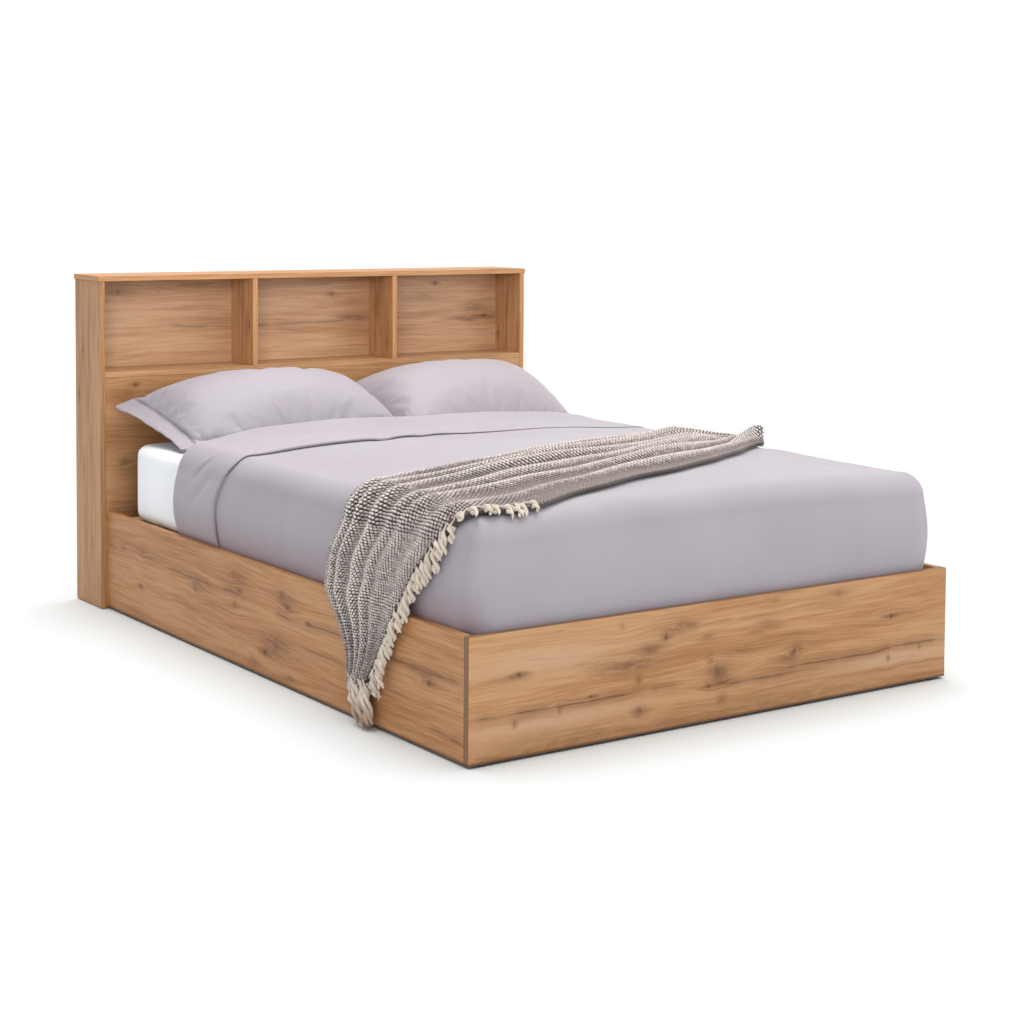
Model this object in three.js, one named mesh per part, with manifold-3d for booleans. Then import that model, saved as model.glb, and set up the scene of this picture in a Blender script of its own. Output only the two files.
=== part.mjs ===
// A double bed with a storage headboard: a shallow case with three open compartments, two side
// rails, a foot panel, a fixed slatted base, and made-up bedding with a knitted throw.
// Millimetres, +Z up. The headboard stands at +Y, the foot at -Y, and +X is to the right of
// someone who looks from the foot to the head. The origin is on the floor below the middle.
import * as THREE from 'three';
import { mergeVertices } from 'three/addons/utils/BufferGeometryUtils.js';
import Module from 'manifold-3d';

const wasm = await Module();
wasm.setup();

// Base frame
const frameWidth = 1412;
const frameLength = 1965;
const railBoard = 18;
const railHeight = 276;
const railLift = 6;

// Headboard case
const caseBoard = 15;
const caseDepth = 187;
const caseHeight = 962;
const caseLift = 3;
const caseOverlap = 20;
const topOverhang = 4;
const compartmentCount = 3;
const compartmentDepth = 150;
const shelfTop = 685;
const stretcherHeight = 80;

// Slatted base
const slatCount = 14;
const slatWidth = 68;
const slatThickness = 15;
const slatEndRoom = 1;
const slatTop = 270;
const firstSlatInset = 60;
const lastSlatInset = 62;
const ledgerWidth = 25;
const ledgerHeight = 40;
const ledgerEndRoom = 2;
const beamWidth = 30;
const beamHeight = 60;
const hangerPlate = 2;
const hangerDepth = 40;
const hangerHeight = 45;
const legWidth = 30;
const legFootHeight = 10;
const legFootRadius = 18;
const legPlaceShares = [0.3, 0.7];

// Corner brackets and their bolts
const bracketLeg = 50;
const bracketPlate = 3;
const bracketHeight = 150;
const bracketBottom = 45;
const boltRadius = 3;
const boltHoleRadius = 3.5;
const boltReach = 13;
const boltRoom = 1;
const boltHeadRadius = 6.5;
const boltHeadHeight = 4;
const boltSides = 12;

// Glides
const caseGlideRadius = 6;
const caseGlideInset = 22;
const railGlideRadius = 8;
const railGlideInset = 40;
const glideSides = 20;

// Room kept between pieces that are soft or cut by a neighbour
const seatGap = 0.3;
const cutOverrun = 2;

// Mattress, a standard double in the room between the boards
const mattressHeight = 220;
const mattressSideRoom = 13;
const mattressFootRoom = 14;
const mattressHeadRoom = 33;
const mattressCorner = 60;
const mattressEdge = 30;
const mattressCrown = 5;

// Duvet, laid over the mattress and tucked inside the rails, its top folded back
const duvetLoft = 45;
const duvetWallThickness = 7.5;
const duvetInnerGap = 1.5;
const duvetCorner = 60;
const duvetEdge = 50;
const duvetBulge = 12;
const duvetCrown = 14;
const duvetTuck = 10;
const duvetHeadInset = 361;
const duvetHeadSweep = 62;
const duvetSweepStartShare = 0.7;
const duvetFoldBack = 335;
const duvetFoldThickness = 13;
const duvetHeadRoll = 22;

// Pillows
const pillowLength = 706;
const pillowDepth = 358;
const pillowBackRoom = 17;
const pillowSideInset = 16;
const pillowFrontSweep = 45;
const pillowSplit = 3;
const pillowLean = 65;
const pillowSeamThickness = 5;
const pillowFlange = 55;
const pillowFrontSeamRise = 8;
const pillowBackSeamRise = 116;
const pillowCrown = 132;
const pillowUnderCrown = 90;
const pillowSideDraw = 26;
const pillowEndDraw = 18;
const pillowFullnessShare = 0.62;
const pillowAcrossSteps = 22;
const pillowAlongSteps = 13;

// Throw, laid across the foot half and hanging over the near rail
const throwRun = 1839;
const throwFarReach = 665;
const throwGap = 2.5;
const throwThickness = 8;
const throwTopFold = 18;
const throwHangFold = 11.5;
const throwFoldCount = 5;
const throwFoldSteps = 4;
const throwFoldWanderShare = 0.03;
const throwRailEase = 60;
const throwRailClear = 8;
// Each row: share of the throw's run from its far end, then where its upper and its lower long
// edge lie, as shares of the mattress's length measured from its foot end
const throwEdgeShares = [
  [0, 0.471, 0.36],
  [0.057, 0.469, 0.286],
  [0.114, 0.466, 0.245],
  [0.302, 0.412, 0.136],
  [0.452, 0.354, 0.086],
  [0.579, 0.322, 0.044],
  [0.644, 0.304, 0.021],
  [0.701, 0.278, 0.018],
  [0.753, 0.275, 0.04],
  [0.807, 0.313, 0.076],
  [0.845, 0.316, 0.102],
  [0.862, 0.301, 0.114],
  [0.897, 0.255, 0.137],
  [0.935, 0.245, 0.163],
  [0.967, 0.242, 0.186],
  [1, 0.239, 0.207],
];

// Where the throw's cross-sections stand, as shares of its run: closer together round the edges
const throwStationShares = [
  0, 0.014, 0.027, 0.057, 0.114, 0.209, 0.302, 0.378, 0.452, 0.519, 0.579, 0.628, 0.666, 0.701,
  0.712, 0.725, 0.738, 0.753, 0.78, 0.807, 0.827, 0.845, 0.854, 0.862, 0.897, 0.935, 0.967, 1,
];

// Places worked out from the driving sizes
const footFrontY = -(frameLength + caseDepth) / 2;
const footBackY = footFrontY + railBoard;
const headFrontY = footFrontY + frameLength;
const headBackY = headFrontY + caseDepth;
const railOuterX = frameWidth / 2;
const railInnerX = railOuterX - railBoard;
const railTop = railLift + railHeight;
const caseOuterX = railOuterX + caseOverlap;
const caseInnerX = caseOuterX - caseBoard;
const caseTopUnder = caseHeight - caseBoard;
const shelfUnder = shelfTop - caseBoard;
const slatBottom = slatTop - slatThickness;
const beamBottom = slatBottom - beamHeight;
const mattressBottom = slatTop + seatGap;
const mattressTop = mattressBottom + mattressHeight;
const mattressWidth = 2 * (railInnerX - mattressSideRoom);
const mattressFootY = footBackY + mattressFootRoom;
const mattressHeadY = headFrontY - mattressHeadRoom;
const mattressLength = mattressHeadY - mattressFootY;
const duvetTop = mattressTop + duvetLoft;
const duvetHem = railTop - duvetTuck;

// Finishes
const oak = new THREE.MeshStandardMaterial({ color: 0xb98c60, roughness: 0.55, metalness: 0 });
const pine = new THREE.MeshStandardMaterial({ color: 0xd8b98a, roughness: 0.7, metalness: 0 });
const zincSteel = new THREE.MeshStandardMaterial({ color: 0xb4b6b8, roughness: 0.35, metalness: 0.9 });
const blackPlastic = new THREE.MeshStandardMaterial({ color: 0x1d1c1b, roughness: 0.6, metalness: 0 });
const whiteSheet = new THREE.MeshStandardMaterial({ color: 0xe9eaee, roughness: 0.85, metalness: 0 });
const satinCotton = new THREE.MeshStandardMaterial({ color: 0xb7b1b5, roughness: 0.6, metalness: 0 });
const knit = new THREE.MeshStandardMaterial({ color: 0xa69c94, roughness: 0.95, metalness: 0 });

const bed = new THREE.Group();

function addPiece(name, geometry, material, parent = bed) {
  const piece = new THREE.Mesh(geometry, material.clone());
  piece.name = name;
  parent.add(piece);
  return piece;
}

const spanSize = ([low, high]) => high - low;
const spanMiddle = ([low, high]) => (low + high) / 2;

// A straight board that fills the given spans
function addBoard(name, material, ...spans) {
  const board = addPiece(name, new THREE.BoxGeometry(...spans.map(spanSize)), material);
  board.position.set(...spans.map(spanMiddle));
  return board;
}

// The same board as a geometry in its place, ready to be drilled
function placedBoard(...spans) {
  return new THREE.BoxGeometry(...spans.map(spanSize)).translate(...spans.map(spanMiddle));
}

// A round pin along one axis, centred on place, with its ends at from and to on that axis
function pinGeometry(radius, sides, axis, place, from, to) {
  const geometry = new THREE.CylinderGeometry(radius, radius, Math.abs(to - from), sides);
  if (axis === 'x') geometry.rotateZ(Math.PI / 2);
  if (axis === 'z') geometry.rotateX(Math.PI / 2);
  const centre = new THREE.Vector3(...place);
  centre[axis] = (from + to) / 2;
  return geometry.translate(centre.x, centre.y, centre.z);
}

function toSolid(geometry) {
  const bare = geometry.clone();
  bare.deleteAttribute('normal');
  bare.deleteAttribute('uv');
  const merged = mergeVertices(bare);
  const mesh = new wasm.Mesh({
    numProp: 3,
    vertProperties: new Float32Array(merged.attributes.position.array),
    triVerts: new Uint32Array(merged.index.array),
  });
  return new wasm.Manifold(mesh);
}

function toGeometry(solid) {
  const mesh = solid.getMesh();
  const geometry = new THREE.BufferGeometry();
  geometry.setAttribute('position', new THREE.BufferAttribute(mesh.vertProperties, 3));
  geometry.setIndex(new THREE.BufferAttribute(mesh.triVerts, 1));
  return geometry;
}

// A closed body from two grids of points of equal size, joined round their rims
function shellGeometry(outer, inner) {
  const rows = outer.length;
  const columns = outer[0].length;
  const points = [...outer.flat(), ...inner.flat()];
  const at = (side, row, column) => side * rows * columns + row * columns + column;
  const faces = [];
  const addQuad = (a, b, c, d) => faces.push(a, b, c, a, c, d);
  const cellCorners = [[0, 0], [0, 1], [1, 1], [1, 0]];
  for (let row = 0; row + 1 < rows; row += 1) {
    for (let column = 0; column + 1 < columns; column += 1) {
      const cell = (side) => cellCorners.map(([down, on]) => at(side, row + down, column + on));
      addQuad(...cell(0));
      addQuad(...cell(1).reverse());
    }
  }
  const rim = [];
  for (let column = 0; column + 1 < columns; column += 1) rim.push([0, column]);
  for (let row = 0; row + 1 < rows; row += 1) rim.push([row, columns - 1]);
  for (let column = columns - 1; column > 0; column -= 1) rim.push([rows - 1, column]);
  for (let row = rows - 1; row > 0; row -= 1) rim.push([row, 0]);
  rim.forEach((here, step) => {
    const next = rim[(step + 1) % rim.length];
    addQuad(at(0, ...next), at(0, ...here), at(1, ...here), at(1, ...next));
  });
  const corner = (vertex) => new THREE.Vector3(...points[vertex]);
  let volume = 0;
  for (let face = 0; face < faces.length; face += 3) {
    const [a, b, c] = [0, 1, 2].map((offset) => corner(faces[face + offset]));
    volume += a.dot(b.cross(c));
  }
  if (volume < 0) faces.reverse();
  const geometry = new THREE.BufferGeometry();
  geometry.setAttribute('position', new THREE.Float32BufferAttribute(points.flat(), 3));
  geometry.setIndex(faces);
  return geometry;
}

const spread = (low, high, share) => low + (high - low) * share;
const evenShares = (count) => Array.from({ length: count + 1 }, (unused, step) => step / count);
const smooth = (share) => {
  const held = Math.min(1, Math.max(0, share));
  return held * held * (3 - 2 * held);
};

// How far a cover reaches out and drops beyond its flat core. The stage counts 0 to 1 over the
// flat margin, 1 to 2 round the edge and 2 to 3 down the wall.
function coverTurn(cover, stage, crest) {
  const margin = cover.corner - cover.edge;
  if (stage <= 1) return { reach: margin * stage, height: crest };
  const turn = (Math.min(stage, 2) - 1) * Math.PI / 2;
  const wall = Math.max(stage - 2, 0);
  const reach = margin + cover.edge * Math.sin(turn) + cover.bulge * Math.sin(Math.PI * wall);
  const shoulder = crest - cover.edge * (1 - Math.cos(turn));
  return { reach, height: shoulder - (crest - cover.edge - cover.hem) * wall };
}

// A point of a cover laid over a block. Each line is a share of the core and a signed stage
// beyond it. In the corners both lines have a stage, and the wall turns there on a round plan.
function coverPoint(cover, across, along) {
  const stage = Math.max(Math.abs(across.stage), Math.abs(along.stage));
  const plan = Math.hypot(across.stage, along.stage) || 1;
  const crest = cover.top - cover.crown * Math.abs(across.share) ** 4;
  const { reach, height } = coverTurn(cover, stage, crest);
  const x = across.share * cover.coreX + reach * across.stage / plan;
  const y = spread(cover.coreFootY, cover.coreHeadY, along.share) + reach * along.stage / plan;
  return [x, y, cover.level + (cover.up ? height : -height)];
}

// Lines of a grid over a cover: the core in even steps, and the edge and wall stages at its ends
const edgeStages = [1, 1.25, 1.5, 1.75, 2, 2.3, 2.65, 3];
function coverLines(coreShares, stages, atLow, atHigh) {
  const low = atLow ? [...stages].reverse().map((stage) => ({ share: coreShares[0], stage: -stage })) : [];
  const core = coreShares.map((share) => ({ share, stage: 0 }));
  const high = atHigh ? stages.map((stage) => ({ share: coreShares.at(-1), stage })) : [];
  return [...low, ...core, ...high];
}

// Headboard case
function buildHeadboard() {
  const depthSpan = [headFrontY, headBackY];
  const innerSpan = [-caseInnerX, caseInnerX];
  const topHalf = caseOuterX + topOverhang;
  addBoard('headboard_side_left', oak, [-caseOuterX, -caseInnerX], depthSpan, [caseLift, caseTopUnder]);
  addBoard('headboard_side_right', oak, [caseInnerX, caseOuterX], depthSpan, [caseLift, caseTopUnder]);
  addBoard('headboard_top', oak, [-topHalf, topHalf], depthSpan, [caseTopUnder, caseHeight]);
  addBoard('headboard_shelf', oak, innerSpan, depthSpan, [shelfUnder, shelfTop]);
  const backFrontY = headFrontY + compartmentDepth;
  const backSpan = [backFrontY, backFrontY + caseBoard];
  addBoard('headboard_back_panel', oak, innerSpan, backSpan, [shelfTop, caseTopUnder]);
  const dividerCount = compartmentCount - 1;
  const roomWidth = (2 * caseInnerX - dividerCount * caseBoard) / compartmentCount;
  for (let number = 1; number <= dividerCount; number += 1) {
    const left = -caseInnerX + number * roomWidth + (number - 1) * caseBoard;
    const span = [left, left + caseBoard];
    addBoard(`headboard_divider_${number}`, oak, span, [headFrontY, backFrontY], [shelfTop, caseTopUnder]);
  }
  const front = placedBoard(innerSpan, [headFrontY, headFrontY + caseBoard], [caseLift, shelfUnder]);
  addPiece('headboard_front_panel', drillForBolts(front, 'y', headFrontY, 1), oak);
  const stretcherSpan = [headBackY - caseBoard, headBackY];
  addBoard('headboard_rear_stretcher', oak, innerSpan, stretcherSpan, [caseLift, caseLift + stretcherHeight]);
  for (const side of [-1, 1]) {
    const sideName = side < 0 ? 'left' : 'right';
    const x = side * (caseOuterX - caseBoard / 2);
    const places = { front: headFrontY + caseGlideInset, back: headBackY - caseGlideInset };
    for (const [placeName, y] of Object.entries(places)) {
      const glide = pinGeometry(caseGlideRadius, glideSides, 'z', [x, y, 0], 0, caseLift);
      addPiece(`headboard_glide_${sideName}_${placeName}`, glide, blackPlastic);
    }
  }
}

// Bolt places: each bracket has one bolt through each leg, half way up
const boltHeight = bracketBottom + bracketHeight / 2;
const boltInset = bracketLeg / 2 + bracketPlate;

// Blind holes for the bracket bolts in a board's inner face, on both sides of the bed
function drillForBolts(geometry, axis, face, into) {
  const depthEnd = face + into * (boltReach + boltRoom);
  const start = face - into * cutOverrun;
  const places = {
    y: [-1, 1].map((side) => [side * (railInnerX - boltInset), 0, boltHeight]),
    x: [footBackY + boltInset, headFrontY - boltInset].map((y) => [0, y, boltHeight]),
  };
  let solid = toSolid(geometry);
  for (const place of places[axis]) {
    solid = solid.subtract(toSolid(pinGeometry(boltHoleRadius, boltSides, axis, place, start, depthEnd)));
  }
  return toGeometry(solid);
}

// Side rails and foot panel
function buildFrame() {
  const railSpan = [footBackY, headFrontY];
  const heightSpan = [railLift, railTop];
  for (const side of [-1, 1]) {
    const sideName = side < 0 ? 'left' : 'right';
    const span = [side * railInnerX, side * railOuterX].sort((low, high) => low - high);
    const rail = placedBoard(span, railSpan, heightSpan);
    addPiece(`side_rail_${sideName}`, drillForBolts(rail, 'x', side * railInnerX, side), oak);
    const railMiddle = side * (railOuterX - railBoard / 2);
    const railGlidePlace = [railMiddle, (footBackY + headFrontY) / 2, 0];
    const railGlide = pinGeometry(railGlideRadius, glideSides, 'z', railGlidePlace, 0, railLift);
    addPiece(`side_rail_glide_${sideName}`, railGlide, blackPlastic);
    const footGlidePlace = [side * (railOuterX - railGlideInset), (footFrontY + footBackY) / 2, 0];
    const footGlide = pinGeometry(railGlideRadius, glideSides, 'z', footGlidePlace, 0, railLift);
    addPiece(`foot_panel_glide_${sideName}`, footGlide, blackPlastic);
  }
  const foot = placedBoard([-railOuterX, railOuterX], [footFrontY, footBackY], heightSpan);
  addPiece('foot_panel', drillForBolts(foot, 'y', footBackY, -1), oak);
}

// A steel angle in each inner corner, with one bolt through each leg
function buildBrackets() {
  for (const side of [-1, 1]) {
    for (const end of [-1, 1]) {
      const sideName = side < 0 ? 'left' : 'right';
      const endName = end < 0 ? 'foot' : 'head';
      const cornerY = end < 0 ? footBackY : headFrontY;
      const outline = new THREE.Shape();
      outline.moveTo(0, 0);
      outline.lineTo(bracketLeg, 0);
      outline.lineTo(bracketLeg, bracketPlate);
      outline.lineTo(bracketPlate, bracketPlate);
      outline.lineTo(bracketPlate, bracketLeg);
      outline.lineTo(0, bracketLeg);
      const angle = new THREE.ExtrudeGeometry(outline, { depth: bracketHeight, bevelEnabled: false });
      const quarter = { '-1-1': 0, '1-1': 1, 11: 2, '-11': 3 }[`${side}${end}`];
      angle.rotateZ(quarter * Math.PI / 2);
      angle.translate(side * railInnerX, cornerY, bracketBottom);
      const boltX = side * (railInnerX - boltInset);
      const boltY = cornerY - end * boltInset;
      const bolts = {
        rail: { axis: 'x', place: [0, boltY, boltHeight], face: side * railInnerX, inward: -side },
        panel: { axis: 'y', place: [boltX, 0, boltHeight], face: cornerY, inward: -end },
      };
      let plate = toSolid(angle);
      for (const { axis, place, face, inward } of Object.values(bolts)) {
        const start = face - inward * cutOverrun;
        const stop = face + inward * (bracketPlate + cutOverrun);
        plate = plate.subtract(toSolid(pinGeometry(boltHoleRadius, boltSides, axis, place, start, stop)));
      }
      addPiece(`corner_bracket_${endName}_${sideName}`, toGeometry(plate), zincSteel);
      for (const [boltName, { axis, place, face, inward }] of Object.entries(bolts)) {
        const seat = face + inward * bracketPlate;
        const tip = face - inward * boltReach;
        const crest = seat + inward * boltHeadHeight;
        const shank = toSolid(pinGeometry(boltRadius, boltSides, axis, place, tip, (seat + crest) / 2));
        const head = toSolid(pinGeometry(boltHeadRadius, boltSides, axis, place, seat, crest));
        addPiece(`bracket_bolt_${endName}_${sideName}_${boltName}`, toGeometry(shank.add(head)), zincSteel);
      }
    }
  }
}

// Ledgers, centre beam with its hangers and legs, and the slats
function buildSlattedBase() {
  const ledgerSpan = [footBackY + ledgerEndRoom, headFrontY - ledgerEndRoom];
  const ledgerHeights = [slatBottom - ledgerHeight, slatBottom];
  addBoard('slat_ledger_left', pine, [-railInnerX, ledgerWidth - railInnerX], ledgerSpan, ledgerHeights);
  addBoard('slat_ledger_right', pine, [railInnerX - ledgerWidth, railInnerX], ledgerSpan, ledgerHeights);
  const beamHalf = beamWidth / 2;
  const beamSpan = [footBackY + ledgerEndRoom, headFrontY - ledgerEndRoom];
  addBoard('centre_beam', pine, [-beamHalf, beamHalf], beamSpan, [beamBottom, slatBottom]);
  const hangerOuter = beamHalf + seatGap + hangerPlate;
  const hangerInner = beamHalf + seatGap;
  const hangerFloor = beamBottom - hangerPlate;
  for (const [endName, startY] of [['foot', footBackY], ['head', headFrontY - hangerDepth]]) {
    const outline = new THREE.Shape();
    outline.moveTo(-hangerOuter, hangerFloor);
    outline.lineTo(hangerOuter, hangerFloor);
    outline.lineTo(hangerOuter, hangerFloor + hangerHeight);
    outline.lineTo(hangerInner, hangerFloor + hangerHeight);
    outline.lineTo(hangerInner, beamBottom);
    outline.lineTo(-hangerInner, beamBottom);
    outline.lineTo(-hangerInner, hangerFloor + hangerHeight);
    outline.lineTo(-hangerOuter, hangerFloor + hangerHeight);
    const hanger = new THREE.ExtrudeGeometry(outline, { depth: hangerDepth, bevelEnabled: false });
    hanger.rotateX(Math.PI / 2);
    hanger.translate(0, startY + hangerDepth, 0);
    addPiece(`beam_hanger_${endName}`, hanger, zincSteel);
  }
  const legHalf = legWidth / 2;
  legPlaceShares.forEach((share, step) => {
    const y = spread(...beamSpan, share);
    const legSpan = [legFootHeight, beamBottom];
    addBoard(`centre_leg_${step + 1}`, pine, [-legHalf, legHalf], [y - legHalf, y + legHalf], legSpan);
    const foot = pinGeometry(legFootRadius, glideSides, 'z', [0, y, 0], 0, legFootHeight);
    addPiece(`centre_leg_foot_${step + 1}`, foot, blackPlastic);
  });
  const slatHalf = railInnerX - slatEndRoom;
  const firstY = footBackY + firstSlatInset;
  const lastY = headFrontY - lastSlatInset - slatWidth;
  for (let number = 0; number < slatCount; number += 1) {
    const y = spread(firstY, lastY, number / (slatCount - 1));
    const name = `slat_${String(number + 1).padStart(2, '0')}`;
    addBoard(name, pine, [-slatHalf, slatHalf], [y, y + slatWidth], [slatBottom, slatTop]);
  }
}

// Mattress: a block with round corners, rolled edges and a slight crown
function buildMattress() {
  const middle = mattressBottom + mattressHeight / 2;
  const half = {
    level: middle,
    coreX: mattressWidth / 2 - mattressCorner,
    coreFootY: mattressFootY + mattressCorner,
    coreHeadY: mattressHeadY - mattressCorner,
    corner: mattressCorner,
    edge: mattressEdge,
    top: mattressHeight / 2,
    hem: mattressHeight / 4,
    bulge: 0,
    crown: mattressCrown,
    up: true,
  };
  const underside = { ...half, crown: 0, up: false };
  const stages = edgeStages.filter((stage) => stage <= 2 || stage === edgeStages.at(-1));
  const across = coverLines([-1, -0.75, -0.4, 0, 0.4, 0.75, 1], stages, true, true);
  const along = coverLines(evenShares(5), stages, true, true);
  const points = (cover) => across.map((a) => along.map((b) => coverPoint(cover, a, b)));
  addPiece('mattress', shellGeometry(points(half), points(underside)), whiteSheet);
}

// Duvet: outer and inner cover of one cloth-filled sheet, with its head end folded back on itself
const duvetOuter = {
  level: 0,
  coreX: mattressWidth / 2 + duvetInnerGap + duvetWallThickness - duvetCorner,
  coreFootY: mattressFootY - duvetInnerGap - duvetWallThickness + duvetCorner,
  coreHeadY: mattressHeadY - duvetHeadInset,
  corner: duvetCorner,
  edge: duvetEdge,
  top: duvetTop,
  hem: duvetHem,
  bulge: duvetBulge,
  crown: duvetCrown,
  up: true,
};

function buildDuvet() {
  const inner = {
    ...duvetOuter,
    coreX: mattressWidth / 2 - mattressCorner,
    coreFootY: mattressFootY + mattressCorner,
    corner: mattressCorner + duvetInnerGap,
    edge: mattressEdge + duvetInnerGap,
    top: mattressTop + duvetInnerGap,
    bulge: 0,
    crown: mattressCrown,
  };
  const coreLength = duvetOuter.coreHeadY - duvetOuter.coreFootY;
  const foldShare = 1 - duvetFoldBack / coreLength;
  const rollShare = duvetHeadRoll / coreLength;
  const stepShare = duvetFoldThickness / coreLength;
  const rollShares = [1 - rollShare, 1 - rollShare / 3, 1];
  const alongShares = [0, 0.2, 0.4, foldShare - stepShare, foldShare, 0.9, ...rollShares];
  const acrossShares = [-1, -0.9, -0.7, -0.35, 0, 0.35, 0.7, 0.9, 1];
  const across = coverLines(acrossShares, edgeStages, true, true);
  const along = coverLines(alongShares, edgeStages, true, false);
  const sweepWidth = 1 - duvetSweepStartShare;
  const sweep = (a, b) => {
    const outward = Math.abs(a.share) - duvetSweepStartShare + sweepWidth * Math.min(1, Math.abs(a.stage));
    return duvetHeadSweep * smooth(b.share) * smooth(outward / (2 * sweepWidth));
  };
  const outerPoint = (a, b) => {
    const point = coverPoint(duvetOuter, a, b);
    const folded = smooth((b.share - foldShare + stepShare) / stepShare);
    const rolled = Math.max(0, (b.share - 1 + rollShare) / rollShare) ** 2;
    const turn = Math.min(1, Math.max(0, Math.abs(a.stage) - 1)) * Math.PI / 2;
    const wall = Math.max(0, Math.abs(a.stage) - 2);
    const rise = (duvetFoldThickness * folded - duvetHeadRoll * rolled) * Math.cos(turn);
    const push = duvetFoldThickness / 2 * folded * Math.sin(turn) * Math.cos(Math.PI / 2 * wall);
    point[0] += Math.sign(a.stage) * push;
    point[1] -= sweep(a, b);
    point[2] += rise;
    return point;
  };
  const innerPoint = (a, b) => {
    const point = coverPoint(inner, a, b);
    point[1] -= sweep(a, b);
    return point;
  };
  const outerPoints = across.map((a) => along.map((b) => outerPoint(a, b)));
  const innerPoints = across.map((a) => along.map((b) => innerPoint(a, b)));
  addPiece('duvet', shellGeometry(outerPoints, innerPoints), satinCotton);
}

// Pillow: a crowned case with drawn-in sides and a flat flange at its outer end. Its front seam
// lies on the mattress and its back seam leans on the headboard.
function buildPillow(name, outerSide) {
  const frontY = headFrontY - pillowBackRoom - pillowDepth;
  const backY = headFrontY - pillowBackRoom;
  const floor = mattressTop + seatGap;
  const flangeShare = 2 * pillowFlange / pillowLength;
  const closeAtEnds = (share) => (1 - Math.cos(Math.PI * share)) / 2;
  const acrossShares = evenShares(pillowAcrossSteps).map(closeAtEnds);
  const alongShares = evenShares(pillowAlongSteps).map(closeAtEnds);
  const edges = (alongShare) => {
    const innerEdge = pillowLean * (1 - alongShare) + outerSide * pillowSplit;
    const drawnIn = outerSide < 0 ? pillowFrontSweep * (1 - alongShare) : 0;
    return [innerEdge, outerSide * (pillowLength - pillowSideInset - drawnIn)];
  };
  const point = (acrossShare, alongShare, up) => {
    const s = 2 * acrossShare - 1;
    const t = 2 * alongShare - 1;
    const [innerEdge, outerEdge] = edges(alongShare);
    const drawEnd = pillowEndDraw * (1 - t * t) * s ** 3;
    const drawSide = pillowSideDraw * (1 - s * s) * t ** 3;
    const x = spread(innerEdge, outerEdge, acrossShare) - outerSide * drawEnd;
    const y = spread(frontY, backY, alongShare) - Math.max(0, drawSide);
    const seam = mattressTop + spread(pillowFrontSeamRise, pillowBackSeamRise, alongShare);
    const flanged = Math.min(1, s + flangeShare < 1 ? (s + 1) / (2 - flangeShare) : 1);
    const sFull = Math.min(1, Math.abs(2 * flanged - 1));
    const full = ((1 - sFull * sFull) * (1 - t * t)) ** pillowFullnessShare;
    const half = pillowSeamThickness / 2;
    const z = up ? seam + half + pillowCrown * full : Math.max(floor, seam - half - pillowUnderCrown * full);
    return [x, y, z];
  };
  const grid = (up) => acrossShares.map((a) => alongShares.map((b) => point(a, b, up)));
  addPiece(name, shellGeometry(grid(true), grid(false)), satinCotton);
}

// Throw: a gathered knitted blanket laid across the duvet, with lengthwise folds. The near end
// turns over the duvet's edge, eases out over the rail and hangs down outside it.
function throwEdges(share) {
  const upper = throwEdgeShares.findIndex(([start]) => start >= share);
  const last = Math.max(1, upper);
  const [startA, highA, lowA] = throwEdgeShares[last - 1];
  const [startB, highB, lowB] = throwEdgeShares[last];
  const part = (share - startA) / (startB - startA);
  const place = (edgeShare) => mattressFootY + mattressLength * edgeShare;
  return [place(spread(highA, highB, part)), place(spread(lowA, lowB, part))];
}

// The line that the throw's underside follows in a section across the bed, with its outward normal
function throwSection(flat) {
  const near = flat < 0 ? -1 : 1;
  const over = Math.abs(flat) - duvetOuter.coreX;
  const margin = duvetOuter.corner - duvetOuter.edge;
  const radius = duvetOuter.edge + throwGap;
  const top = duvetOuter.top + throwGap;
  const crown = duvetOuter.crown * Math.min(1, Math.abs(flat) / duvetOuter.coreX) ** 4;
  if (over <= margin) return { x: flat, z: top - crown, normalX: 0, normalZ: 1 };
  const turn = Math.min((over - margin) / radius, Math.PI / 2);
  const wall = over - margin - turn * radius;
  const z = top - crown - radius * (1 - Math.cos(turn)) - wall;
  const coreEdge = duvetOuter.coreX + margin;
  const wallShare = Math.min(1, wall / (duvetOuter.top - crown - duvetOuter.edge - duvetOuter.hem));
  const overDuvet = coreEdge + radius * Math.sin(turn) + duvetOuter.bulge * Math.sin(Math.PI * wallShare);
  const eased = smooth((railTop + throwRailEase - z) / (throwRailEase - throwRailClear));
  const x = near * spread(overDuvet, Math.max(overDuvet, railOuterX + throwGap), eased);
  return { x, z, normalX: near * Math.sin(turn), normalZ: Math.cos(turn) };
}

function buildThrow() {
  const acrossShares = evenShares(throwFoldSteps * throwFoldCount);
  const outer = [];
  const inner = [];
  for (const run of throwStationShares) {
    const [upperY, lowerY] = throwEdges(run);
    const section = throwSection(throwFarReach - throwRun * run);
    const hanging = smooth((duvetTop - section.z) / duvetEdge);
    const foldDepth = spread(throwTopFold, throwHangFold, hanging);
    const wander = throwFoldWanderShare * Math.sin(2 * Math.PI * run);
    const outerRow = [];
    const innerRow = [];
    for (const across of acrossShares) {
      const rest = Math.sin(Math.PI * across);
      const fold = (1 - Math.cos(2 * Math.PI * throwFoldCount * (across + wander * rest))) / 2;
      const height = throwThickness + foldDepth * fold;
      const y = spread(upperY, lowerY, across);
      innerRow.push([section.x, y, section.z]);
      outerRow.push([section.x + height * section.normalX, y, section.z + height * section.normalZ]);
    }
    inner.push(innerRow);
    outer.push(outerRow);
  }
  addPiece('throw', shellGeometry(outer, inner), knit);
}

buildHeadboard();
buildFrame();
buildBrackets();
buildSlattedBase();
buildMattress();
buildDuvet();
buildPillow('pillow_left', -1);
buildPillow('pillow_right', 1);
buildThrow();

export default bed;
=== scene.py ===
# %% [markdown]
# A double bed with a storage headboard. The real one is flat-pack furniture: boards faced with a
# printed oak laminate, a slatted pine base inside, and a made-up mattress with a duvet, two pillows
# and a knitted throw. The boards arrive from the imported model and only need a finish. Everything
# soft is made here, as surfaces worked out with numpy.

# %% Load the frame
import math

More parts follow.
